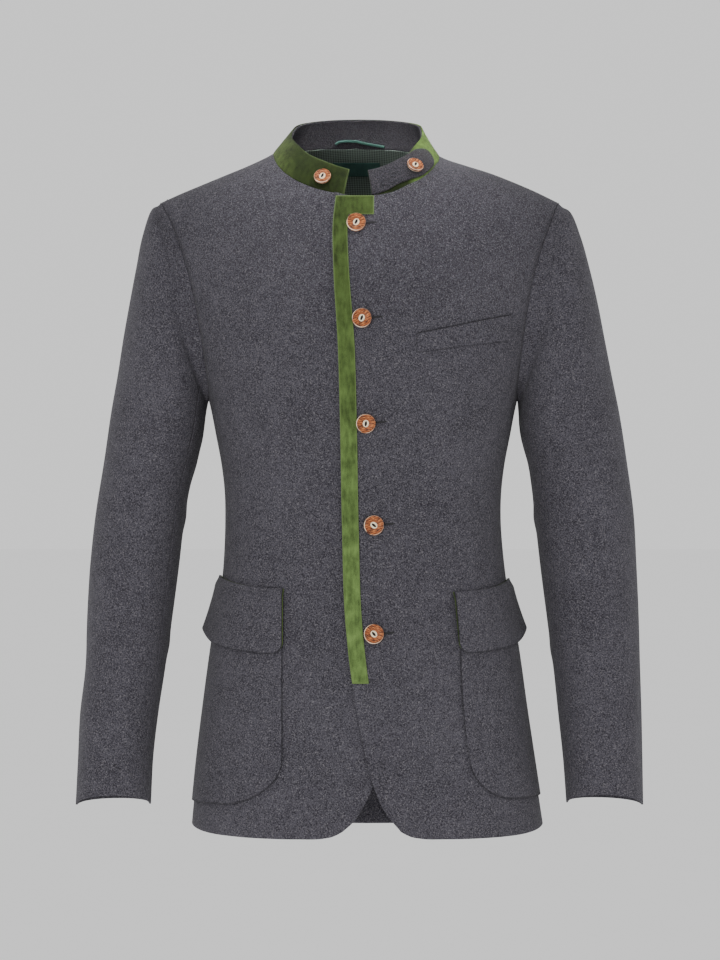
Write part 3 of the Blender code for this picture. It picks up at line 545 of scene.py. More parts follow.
@dataclass
class Torso:
    """The body: a ring for each height, squarer than an ellipse, rounded off on top."""

    fullness: float = 0.07
    ridge_y: float = 5.0
    front_round: float = 190.0
    back_round: float = 150.0
    neck_half: float = 91.0
    neck_drop: float = 52.0
    neck_crosses: Pair = (-30.0, -8.0)
    neck_raise: float = 4.2
    neck_rises: Pair = (32.0, 60.0)
    neck_falls: Pair = (86.0, 91.0)
    neck_back_reach: float = 57.0
    shoulder_x: float = 218.0
    armpit_z: float = -270.0
    hem_band_z: float = -640.0
    straight_z: float = -480.0
    top_band: float = 130.0
    rows: tuple[int, int, int, int] = (34, 76, 26, 34)
    columns: int = 25
    seam: float = 0.5
    mean_radius: float = 150.0
    creases: list[Crease] = field(default_factory=list)

    def __post_init__(self) -> None:
        """Turn the table of creases into lines on the unrolled body."""
        for face, lines in TORSO_CREASES.items():
            for x0, z0, x1, z1, width, depth in lines:
                ends = ((self.run_at(face, x, z), z) for x, z in ((x0, z0), (x1, z1)))
                self.creases.append(Crease(*ends, width, depth))

    def run_at(self, face: Face, x: float, height: float) -> float:
        """Distance round the unrolled body of a point seen from the front or the back."""
        angle = float(self.angle_at(np.array(x, float), np.array(height, float)))
        return self.mean_radius * (angle if face is Face.FRONT else HALF_TURN - angle)

    def bulge(self, angle: Array) -> Array:
        """1 + fullness sin^2(2 angle): 1 on the ring's axes, more between them."""
        return 1 + self.fullness * np.sin(2 * angle) ** 2

    def shift(self, height: Array) -> Array:
        """How far the ring's middle lies to the wearer's left."""
        return TORSO_RINGS.read("shift", height)

    def shoulder(self, out: Array) -> Array:
        """Height of the shoulder line over a distance from the middle, above 0 to the left."""
        left_rise = np.where(out > 0, SHOULDER_LINE.read("left_rise", np.abs(out)), 0)
        return SHOULDER_LINE.read("height", np.abs(out)) + left_rise

    def plain(self, angle: Array, height: Array) -> Array:
        """The surface without creases.

        x = W sin a B(a), y = r (1 - s) - D cos a B(a) sqrt(1 - (1 - s)^2), where s is how far
        the point lies under the shoulder line, as a share of the rounding's depth.

        Args:
            angle: 0 at the centre front, 90 degrees at the left side, 180 at the centre back.
            height: z in millimetres.

        Returns:
            Points in millimetres.
        """
        forward = np.cos(angle)
        is_front = forward > 0
        front, back = (TORSO_RINGS.read(face.value, height) for face in Face)
        depth = np.where(is_front, front, back)
        x = TORSO_RINGS.read("half_width", height) * np.sin(angle) * self.bulge(angle)
        drop = np.maximum(self.shoulder(x) - height, 0)
        share = np.minimum(drop / np.where(is_front, self.front_round, self.back_round), 1)
        reach = depth * forward * self.bulge(angle) * np.sqrt(1 - (1 - share) ** 2)
        half_seam = np.where(is_front, -self.seam / 2, self.seam / 2)
        y = self.ridge_y * (1 - share) - reach + half_seam
        return np.stack([x + self.shift(height), y, height + 0 * x], axis=-1)

    def relief(self, angle: Array, height: Array) -> Array:
        """All the creases together, in millimetres out."""
        run = self.mean_radius * angle
        return sum(crease.rise(run, height, TURN * self.mean_radius) for crease in self.creases)

    def normal(self, angle: Array, height: Array) -> Array:
        """The plain surface's normal, from its points a little way off: across x up.

        Args:
            angle: round the body.
            height: z in millimetres.

        Returns:
            Unit vectors.
        """
        turn, rise = math.radians(0.4), 0.8
        across = self.plain(angle + turn, height) - self.plain(angle - turn, height)
        up = self.plain(angle, height + rise) - self.plain(angle, height - rise)
        return unit(np.cross(across, up))

    def skin(self, angle: Array, height: Array, lift: Array | float = 0.0) -> Array:
        """The surface with its creases, moved out along its normal: p + n (relief + lift).

        Args:
            angle: round the body.
            height: z in millimetres.
            lift: millimetres out past the creases.

        Returns:
            Points in millimetres.
        """
        angle, height, lift = np.broadcast_arrays(angle, height, lift)
        out = lift + self.relief(angle, height)
        return self.plain(angle, height) + self.normal(angle, height) * out[..., None]

    def angle_at(self, out: Array, height: Array) -> Array:
        """The angle of the point a distance out from the ring's middle, by repeated arcsin.

        Args:
            out: distance to the left of the ring's middle.
            height: z in millimetres.

        Returns:
            Angles from -90 to 90 degrees, in radians.
        """
        share = out / TORSO_RINGS.read("half_width", height)
        angle = np.arcsin(np.clip(share, -1, 1))
        for _ in range(14):
            angle = np.arcsin(np.clip(share / self.bulge(angle), -1, 1))
        return angle

    def front_angle(self, x: Array, height: Array) -> Array:
        """The angle of a front point given its x and its height."""
        return self.angle_at(x - self.shift(height), height)

    def outer_angle(self, height: Array, face: Face) -> Array:
        """Where a panel ends: the side seam, or the armhole above the armpit."""
        armhole = self.angle_at(ARMHOLE.read(face.value, height), height)
        return np.where(height <= self.armpit_z, QUARTER_TURN - 1e-6, armhole)

    def neck_height(self, out: Array, face: Face) -> Array:
        """Height of the neckline at a distance to the left.

        In front it is an ellipse, raised a little on the left; behind it is where y = reach.

        Args:
            out: millimetres to the left of the middle.
            face: front or back.

        Returns:
            z in millimetres.
        """
        level = np.sqrt(np.clip(1 - (out / self.neck_half) ** 2, 0, 1))
        left, right = (self.shoulder(np.array(end)) for end in (self.neck_half, -self.neck_half))
        if face is Face.FRONT:
            middle = right + (left - right) * ease(out, *self.neck_crosses) - self.neck_drop * level
            raised = ease(out, *self.neck_rises) * (1 - ease(out, *self.neck_falls))
            return middle + self.neck_raise * raised
        reach = self.neck_back_reach * level / TORSO_RINGS.read("back", right)
        return self.shoulder(out) - self.back_round * (1 - np.sqrt(1 - reach**2))

    def neckline(self, angle: Array) -> Array:
        """Points of the neck seam, from the centre front round by the left side and the back.

        Args:
            angle: round the neck, 0 at the centre front.

        Returns:
            Points in millimetres.
        """
        out = self.neck_half * np.sin(angle)
        is_front = np.cos(angle) > 0
        height = np.where(is_front, *(self.neck_height(out, face) for face in Face))
        around = self.angle_at(np.abs(out), height)
        around = np.where(is_front, around, HALF_TURN - around) * np.sign(out + 1e-12)
        return self.plain(around, height)

    def armhole(self, turn: Array, side: Side, under: float = 0.0, lift: float = 0.0) -> Array:
        """One armhole, mirrored to the left: p + (t x n) under + n lift.

        Args:
            turn: 0 at the shoulder, 90 degrees in front, 180 at the armpit.
            side: the wearer's side.
            under: how far in from the armhole towards the body, in millimetres.
            lift: how far out.

        Returns:
            Points, where t runs round the armhole and n is the body's normal.
        """
        top, low = ARMHOLE.stations[-1], self.armpit_z
        height = (top + low) / 2 + (top - low) / 2 * np.cos(turn)
        front = self.angle_at(ARMHOLE.read("front", height), height)
        back = HALF_TURN - self.angle_at(ARMHOLE.read("back", height), height)
        around = side.value * np.where(np.sin(turn) >= 0, front, back)
        points = self.plain(around, height) * (side.value, 1, 1)
        normal = self.normal(around, height) * (side.value, 1, 1)
        inward = np.cross(unit(np.gradient(points, axis=0)), normal)
        return points + inward * under + normal * lift

    def panel(
        self, face: Face, edge: Callable[[Array], Array], hem: Callable[[Array], Array],
        neck_start: float, side: Side,
    ) -> tuple[Array, Array]:
        """Angles and heights over one half panel, in rows from hem to top.

        The rows lie in four bands: the hem's, level ones up to the armpit, ones that bend to
        the top, and ones that follow it. A column's share of the way from edge to outer edge
        goes smoothly from even at the hem to even along the neckline and the shoulder.

        Args:
            face: front or back.
            edge: angle of the inner edge at a height.
            hem: height of the lower edge at an angle.
            neck_start: where the neckline begins, in millimetres from the middle.
            side: the wearer's side; the panel is worked out mirrored to the left.

        Returns:
            Two grids of the same shape.
        """
        steps = spread(math.asin(neck_start / self.neck_half), QUARTER_TURN, self.columns)
        past_neck = spread(self.neck_half, self.shoulder_x, self.columns)[1:]
        top_out = np.concatenate([self.neck_half * np.sin(steps), past_neck])
        on_neck = top_out < self.neck_half - 1e-6
        neck = self.neck_height(side.value * np.minimum(top_out, self.neck_half), face)
        top = np.where(on_neck, neck, self.shoulder(side.value * top_out))
        reach = self.outer_angle(top, face) - edge(top)
        top_share = (self.angle_at(top_out, top) - edge(top)) / reach
        low_share = spread(0, 1, len(top_out))
        low_edge = edge(TORSO_RINGS.stations[0])
        low = hem(low_edge + low_share * (QUARTER_TURN - low_edge))
        at_hem, level, bending, at_top = (spread(0, 1, count) for count in self.rows)
        drops = self.top_band * at_top[::-1] ** 2.4
        under = top - drops[0]
        to_armpit = self.armpit_z - self.hem_band_z
        rows = [low + (self.hem_band_z - low) * t for t in at_hem]
        rows += [self.hem_band_z + to_armpit * t + 0 * low for t in level[1:]]
        rows += [self.armpit_z + (under - self.armpit_z) * t**1.5 for t in bending[1:-1]]
        rows += [top - drop for drop in drops]
        height = np.array(rows)
        share = low_share + (top_share - low_share) * ease(height, self.straight_z, top)
        inner = edge(height)
        return inner + share * (self.outer_angle(height, face) - inner), height


# ---- panels of the body


@dataclass
class Fronts:
    """The lapping left front, the right front under it, and the suede trim down the lap's edge."""

    torso: Torso
    loden: float = 2.0
    suede: float = 1.2
    lap: float = 2.8
    lap_flat_x: float = 38.0
    lap_down_x: float = 66.0
    trim_width: float = 17.3
    trim_top_width: float = 15.3
    trim_end_z: float = -574.5
    bar_x: float = 13.5
    bar_depth: float = 19.8
    trim_rows: tuple[int, int] = (150, 14)
    trim_columns: int = 13
    side_rise: float = 6.0
    edge_reach: float = 0.8
    seat: float = 0.8

    def rise(self, x: Array) -> Array:
        """How far the lapping front stands out over the edge beneath it."""
        return self.lap * (1 - ease(x, self.lap_flat_x, self.lap_down_x))

    def hem_from(self, corner: float) -> Callable[[Array], Array]:
        """The lower edge's height at an angle, for a front whose corner lies at an x.

        Args:
            corner: x of the front's lower corner.

        Returns:
            A function of the angle.
        """

        def hem(angle: Array) -> Array:
            """The table's height past the corner, and the rise towards the side seam.

            Args:
                angle: round the body.

            Returns:
                z in millimetres.
            """
            ring = TORSO_RINGS.read("half_width", TORSO_RINGS.stations[0])
            out = ring * np.sin(angle) * self.torso.bulge(angle)
            out = out + self.torso.shift(TORSO_RINGS.stations[0])
            rise = self.side_rise * ease(angle, math.radians(50), QUARTER_TURN)
            return FRONT_HEM.read("height", out - corner) + rise

        return hem

    def edge_from(self, edge: Table) -> Callable[[Array], Array]:
        """A front's edge as the angle at a height."""
        return lambda height: self.torso.front_angle(edge.read("x", height), height)

    def left(self) -> Sheet:
        """The lapping front.

        Returns:
            Its sheet.
        """
        edge, hem = self.edge_from(LAP_EDGE), self.hem_from(float(LAP_EDGE.columns["x"][0]))
        neck_start = float(LAP_EDGE.columns["x"][-1])
        angle, height = self.torso.panel(Face.FRONT, edge, hem, neck_start, Side.LEFT)
        x = self.torso.plain(angle, height)[..., 0]
        grid = self.torso.skin(angle, height, self.rise(x))
        return Sheet("loden_front_left", grid, self.loden)

    def right(self) -> Sheet:
        """The front that lies under, worked out mirrored.

        Returns:
            Its sheet.
        """
        edge = self.edge_from(UNDER_EDGE)
        corner = -float(UNDER_EDGE.columns["x"][0])
        corner += 2 * float(self.torso.shift(UNDER_EDGE.stations[0]))
        neck_start = -float(UNDER_EDGE.columns["x"][-1])
        hem = self.hem_from(corner)
        angle, height = self.torso.panel(
            Face.FRONT, lambda height: -edge(height), hem, neck_start, Side.RIGHT
        )
        grid = self.torso.skin(-angle, height)[:, ::-1]
        return Sheet("loden_front_right", grid, self.loden)

    def trim(self) -> Sheet:
        """The suede strip with a bar across its top, an L of cells kept from one grid.

        Returns:
            Its sheet.
        """
        top = float(self.torso.neck_height(np.array(0.0), Face.FRONT)) - self.torso.seam
        bar = top - self.bar_depth
        long, short = self.trim_rows
        levels = np.concatenate([spread(self.trim_end_z, bar, long), spread(bar, top, short)[1:]])
        edge = LAP_EDGE.read("x", levels) + 0.4
        grow = (self.trim_width - self.trim_top_width) * ease(-levels, 80, 220)
        width = self.trim_top_width + grow
        last = edge + width
        shares = spread(0, 1, self.trim_columns)
        strip = [edge + width * t for t in shares]
        across = np.stack(strip + [last + (self.bar_x - last) * t for t in shares[1:]], axis=1)
        levels = levels[:, None] + 0 * across
        keep = np.ones((len(levels) - 1, across.shape[1] - 1), bool)
        keep[: long - 1, self.trim_columns - 1 :] = False
        angle = self.torso.front_angle(across, levels)
        grid = self.torso.skin(angle, levels, self.lap + self.seat)
        right = np.where(levels >= bar, self.bar_x, last[:, None]) - across
        low = levels - np.where(across > last[:, None] + 0.1, bar, self.trim_end_z)
        away = np.minimum(np.minimum(across - edge[:, None], right), np.minimum(low, top - levels))
        shade = np.exp(-np.maximum(away, 0) / self.edge_reach)
        return Sheet("suede_trim", grid, self.suede, outward=True, keep=keep, shade=shade)


@dataclass
class Back:
    """The back, and what shows inside its neck: check lining with a pleat, and a bare label."""

    torso: Torso
    loden: float = 2.0
    lining: float = 0.8
    hem_z: float = -743.0
    hem_rise: float = 10.4
    groove: float = 0.7
    groove_width: float = 1.4
    lining_lift: float = -3.3
    lining_ends: float = 42.0
    lining_inset: float = 0.05
    lining_ease: float = 1.4
    pleat_width: float = 26.0
    pleat_depth: float = 2.4
    pleat_groove: float = 1.6
    pleat_groove_width: float = 0.9
    ripple: float = 0.35
    neck_reach: Pair = (60.0, 88.0)
    under_collar: float = 0.8
    label_half: float = 27.0
    label_top: float = 3.0
    label_bottom: float = -12.0
    label_off: float = 1.0
    label_thick: float = 0.6

    def whole(self, inset: float = 0.0) -> tuple[Array, Array, Array]:
        """Both halves of the back.

        Args:
            inset: the share by which the outer edges are drawn in, less towards the middle.

        Returns:
            Angles round the body, heights, and how far out each column is, up to 1.
        """

        def hem(angle: Array) -> Array:
            """Height of the lower edge, which rises towards the sides."""
            return self.hem_z + self.hem_rise * np.sin(angle) ** 2

        def centre(height: Array) -> Array:
            """Angle of the centre line."""
            return 0.0 * height

        left, left_height = self.torso.panel(Face.BACK, centre, hem, 0.0, Side.LEFT)
        right, right_height = self.torso.panel(Face.BACK, centre, hem, 0.0, Side.RIGHT)
        out = spread(0, 1, left.shape[1]) ** 4
        left, right = left * (1 - inset * out), right * (1 - inset * out)
        turn = np.concatenate([HALF_TURN - left[:, ::-1], HALF_TURN + right[:, 1:]], axis=1)
        height = np.concatenate([left_height[:, ::-1], right_height[:, 1:]], axis=1)
        return turn, height, np.concatenate([out[::-1], out[1:]])

    def outside(self) -> Sheet:
        """The loden back, with an ironed groove down its centre.

        Returns:
            Its sheet.
        """
        turn, height, _ = self.whole()
        out = (turn - HALF_TURN) * self.torso.mean_radius
        groove = self.groove * bell(out, self.groove_width)
        return Sheet("loden_back", self.torso.skin(turn, height, -groove), self.loden)

    def inside(self) -> Sheet:
        """The lining: the back moved in, eased from the seams, with a pleat down the middle.

        The pleat moves it in by depth (1 - ease(|x|)), less a narrow groove at x = 0. In the
        neck its top runs up behind the collar's edge.

        Returns:
            Its sheet.
        """
        turn, tall, out = self.whole(self.lining_inset)
        row = spread(0, 1, len(tall))[:, None]
        neck = 1 - ease(np.abs(self.torso.plain(turn, tall)[..., 0]), *self.neck_reach)
        tall = tall + self.under_collar * neck * ease(row, 0.9, 1)
        tall = tall + self.lining_ends * (1 - ease(tall, self.hem_z, self.hem_z + 90))
        across = self.torso.plain(turn, tall)[..., 0] - self.torso.shift(tall)
        pleat = self.pleat_depth * (1 - ease(np.abs(across), 1, self.pleat_width / 2))
        pleat = pleat - self.pleat_groove * bell(across, self.pleat_groove_width)
        ripple = self.ripple * np.sin(across / 7.0 + tall / 60.0) * ease(-tall, 10, 60)
        tucked = (0.3 + pleat) * neck * ease(row, 0.93, 0.985)
        lift = self.lining_lift - pleat - self.lining_ease * out + ripple + tucked
        grid = self.torso.skin(turn, tall, lift)
        return Sheet("check_lining", grid, self.lining, bulge=0.1)

    def label(self) -> Sheet:
        """A bare woven label under the neck seam.

        Returns:
            Its sheet.
        """
        across = spread(self.label_half, -self.label_half, 37)
        tall = spread(self.label_bottom, self.label_top, 19)[:, None] + 0 * across
        turn = HALF_TURN - self.torso.angle_at(across, tall)
        lift = self.lining_lift - self.lining - self.pleat_depth - self.label_off
        grid = self.torso.skin(turn, tall, lift)
        return Sheet("bare_label", grid, self.label_thick, bulge=0.1)


# ---- sleeves

LEFT_SLEEVE = Table(
    "ring outer_x outer_z inner_x inner_z",
    (0, 230.0, -61, 172.6, -274), (1, 242.0, -90, 173.0, -279), (2, 251.0, -122, 173.5, -286),
    (3, 260.0, -160, 174.0, -296), (4, 267.8, -200, 175.8, -309), (5, 276.0, -242, 179.0, -322),
    (6, 284.0, -282, 183.5, -338), (7, 291.8, -332, 187.6, -364), (8, 299.7, -392, 191.7, -402),
    (9, 302.8, -450, 197.2, -452), (10, 305.0, -505, 204.2, -508), (11, 306.5, -560, 211.0, -562),
    (12, 307.6, -612, 216.2, -614), (13, 308.0, -660, 221.0, -661),
    (14, 308.3, -711, 224.3, -708.5),
)
RIGHT_SLEEVE = Table(
    "ring outer_x outer_z inner_x inner_z",
    (0, 229.5, -57.5, 168.8, -274), (1, 240.3, -88, 169.8, -279), (2, 247.0, -122, 171.0, -287),
    (3, 253.8, -158, 172.3, -298), (4, 261.0, -198, 174.2, -311), (5, 267.5, -240, 177.5, -325),
    (6, 274.5, -280, 181.0, -340), (7, 282.0, -332, 187.5, -362), (8, 291.5, -392, 194.0, -399),
    (9, 297.6, -450, 200.0, -451), (10, 300.8, -508, 207.3, -508), (11, 302.6, -562, 214.8, -563),
    (12, 308.2, -614, 222.3, -614), (13, 309.8, -660, 227.2, -659), (14, 311.7, -711, 229.5, -710),
)
SLEEVE_DEPTH = Table(
    "ring front back",
    (0, -61, 65), (1, -66, 70), (2, -69, 73), (3, -70, 75), (4, -69, 75), (5, -67, 73),
    (6, -65, 70), (7, -63, 66), (8, -62, 62), (9, -62, 57), (10, -64, 50), (11, -67, 42),
    (12, -71, 34), (13, -74, 26), (14, -76, 17),
)
# The seam allowance turned in under the body's edge: way down, how far in, lift
TURN_IN = (
    (-9.5, 6.5, -2.9), (-6.5, 3.5, -2.8), (-3.5, 0.4, -2.7), (-2.3, -0.5, -2.2), (-1.2, -0.7, -1.1),
)
# (degrees round from the outer arm towards the front, way down in mm) of both ends, width, depth
LEFT_CREASES = (
    (60, 130, 112, 190, 11, -1.8), (84, 96, 128, 150, 9, -1.4), (40, 250, 96, 300, 11, -1.7),
    (70, 268, 124, 330, 12, 1.3), (96, 322, 132, 372, 10, -1.5), (24, 372, 72, 410, 12, 1.4),
    (58, 398, 112, 446, 11, -1.5), (66, 130, 80, 260, 18, 1.0), (78, 440, 86, 620, 20, 1.6),
    (30, 470, 62, 540, 12, -1.2), (12, 420, 30, 600, 16, 1.2), (-60, 330, -20, 372, 12, -2.0),
    (-84, 366, -34, 398, 12, 1.6), (-70, 398, -26, 428, 11, -1.8), (-110, 120, -70, 200, 12, -1.6),
    (-60, 120, -66, 300, 22, 1.4), (170, 150, 214, 176, 10, -1.6), (176, 300, 236, 322, 11, -1.6),
)
RIGHT_CREASES = (
    (62, 120, 112, 176, 11, -1.7), (84, 90, 126, 140, 9, -1.3), (34, 236, 92, 292, 12, -1.7),
    (60, 300, 116, 344, 12, 1.4), (84, 330, 130, 384, 10, -1.6), (20, 350, 76, 398, 12, -1.5),
    (52, 410, 104, 452, 11, 1.2), (72, 120, 84, 280, 18, 1.1), (74, 430, 84, 620, 20, 1.9),
    (40, 500, 70, 580, 12, -1.3), (14, 420, 24, 600, 16, 1.0), (-62, 320, -18, 360, 12, -2.0),
    (-86, 352, -36, 388, 12, 1.7), (-72, 388, -24, 420, 11, -1.8), (-108, 120, -72, 190, 12, -1.6),
    (-62, 130, -66, 300, 22, 1.4), (172, 150, 212, 178, 10, -1.6), (174, 296, 238, 318, 11, -1.6),
)


@dataclass
class Sleeve:
    """A two-piece sleeve: slanted rings from the armhole to the cuff, seen from the front."""

    torso: Torso
    side: Side
    rings: Table
    folds: tuple[tuple[float, ...], ...]
    loden: float = 2.0
    seam_off: float = 0.8
    fullness: float = 0.03
    front_seam: float = 142.0
    back_seam: float = 258.0
    cuff_arch: float = 13.0
    cuff_back_arch: float = 3.0
    mean_radius: float = 60.0
    head_roll: float = 1.8
    roll_at: float = 8.0
    roll_width: float = 7.0
    thin_at_seam: float = 0.4
    seam_turn: float = 0.25
    rows: int = 150

    def coarse(self, turn: Array) -> Array:
        """The armhole and each ring: m + (o - i) / 2 cos t B(t) - y half-depth sin t B(t).

        Args:
            turn: 0 at the outer arm, 90 degrees in front, 180 at the inner arm.

        Returns:
            Points as (ring, turn, xyz); o and i are a ring's outer and inner points, m their
            middle, and B(t) = 1 + fullness sin^2(2 t).
        """
        loop = self.torso.armhole(turn, self.side)
        loop[:, 0] += self.seam_off
        front, back = (SLEEVE_DEPTH.columns[face.value] for face in Face)
        middle_y, half_y = 0.5 * (front + back), 0.5 * (back - front)
        sizes = self.rings.columns
        outer, inner = (
            np.stack([sizes[f"{end}_x"], middle_y, sizes[f"{end}_z"]], axis=-1)
            for end in ("outer", "inner")
        )
        squarer = (1 + self.fullness * np.sin(2 * turn) ** 2)[None, :, None]
        swing = (outer - inner)[:, None] / 2 * np.cos(turn)[None, :, None]
        ovals = (outer + inner)[:, None] / 2 + swing * squarer
        ovals[..., 1] -= half_y[:, None] * np.sin(turn) * squarer[..., 0]
        arch = self.cuff_arch * np.maximum(np.sin(turn), 0)
        arch += self.cuff_back_arch * np.maximum(-np.sin(turn), 0)
        ovals[-1, :, 2] += arch
        ovals[-2, :, 2] += arch / 3
        return np.concatenate([loop[None], ovals])

    def surface(self, turn: Array) -> tuple[Array, Array]:
        """The rings joined by cubics down the arm, with the seam allowance before them.

        Args:
            turn: angles round the arm.

        Returns:
            Points as (row, turn, xyz) from under the body's edge down, and each row's way
            down from the armhole in mm.
        """
        rings = self.coarse(turn)
        steps = np.linalg.norm(np.diff(rings, axis=0), axis=-1).mean(axis=1)
        stations = np.concatenate([[0], steps.cumsum()])
        way = stations[-1] * spread(0, 1, self.rows) ** 1.25
        points = through(stations, rings, way)
        turned_in = [self.torso.armhole(turn, self.side, *inward) for _, *inward in TURN_IN]
        return np.concatenate([turned_in, points]), np.concatenate([[w for w, *_ in TURN_IN], way])

    def relief(self, turn: Array, way: Array) -> Array:
        """Creases, and the roll of the sleeve head, a bell of the way down round where it lies.

        Args:
            turn: angles round the arm.
            way: millimetres down it.

        Returns:
            Millimetres out, as (way, turn).
        """
        run = self.mean_radius * turn[None, :] + 0 * way[:, None]
        way = way[:, None] + 0 * run
        roll = self.head_roll * bell(way - self.roll_at, self.roll_width)
        out = roll * ease(np.cos(turn), -0.2, 0.6)
        for t0, w0, t1, w1, width, depth in self.folds:
            ends = ((math.radians(t) * self.mean_radius, w) for t, w in ((t0, w0), (t1, w1)))
            out = out + Crease(*ends, width, depth).rise(run, way, TURN * self.mean_radius)
        return out * ease(way, 0, 3)

    def piece(self, name: str, start: float, end: float, columns: int) -> Sheet:
        """One of the two pieces, between two turns in degrees.

        Args:
            name: the piece's name without its side.
            start: where it begins, in degrees.
            end: where it ends.
            columns: points across it.

        Returns:
            Its sheet.
        """
        gap = math.radians(self.seam_turn)
        turn = spread(math.radians(start) + gap, math.radians(end) - gap, columns)
        points, way = self.surface(turn)
        across = np.gradient(points, axis=1)
        normal = unit(np.cross(np.gradient(points, axis=0), across))
        points = points + normal * self.relief(turn, way)[..., None]
        points = points * (self.side.value, 1, 1)
        full = self.thin_at_seam + (1 - self.thin_at_seam) * ease(way, 0, 6)
        thick = self.loden * full[::-1, None]
        flip = self.side is Side.LEFT
        return Sheet(f"loden_{name}_{self.side.word}", points[::-1], thick, flip=flip)

    def upper(self) -> Sheet:
        """The upper piece, round the outer arm."""
        return self.piece("upper_sleeve", self.back_seam - 360, self.front_seam, 110)

    def under(self) -> Sheet:
        """The under piece, along the inner arm."""
        return self.piece("under_sleeve", self.front_seam, self.back_seam, 50)


# ---- collar

COLLAR_TOP = Table(
    "angle y right_out right_z left_out left_z",
    (0, -74, 0, -22.3, 0, -22.8), (13, -73.5, 17, -18.2, 17, -20.3),
    (31, -66, 39, -9.8, 39, -11.1), (46, -53, 54.5, -1.8, 52.3, -3.2),
    (62, -34, 66.5, 9.8, 60.8, 8), (80, -10, 73.5, 19.5, 68.9, 19.5),
    (100, 14, 73, 30, 70.5, 30), (116, 30, 68, 36.3, 68, 36.3),
    (136, 44, 53, 40.9, 53, 40.9), (158, 52, 28, 43.9, 28, 43.9), (180, 54, 0, 44.8, 0, 44.8),
)
TAB = Table(
    "along low high",
    (0.000, 0.02, 0.96), (0.030, 0.11, 0.96), (0.056, 0.19, 0.96), (0.079, 0.15, 0.98),
    (0.100, 0.10, 0.98), (0.120, 0.05, 0.955), (0.140, 0.04, 0.91), (0.156, 0.04, 0.83),
    (0.168, 0.05, 0.74), (0.176, 0.11, 0.66), (0.181, 0.20, 0.58), (0.184, 0.32, 0.50),
)
LOOP_LINE = Table(
    "across up", (-27, 0.11), (-23, 0.19), (-17, 0.225), (-4, 0.20), (12, 0.13), (33, 0.02)
)


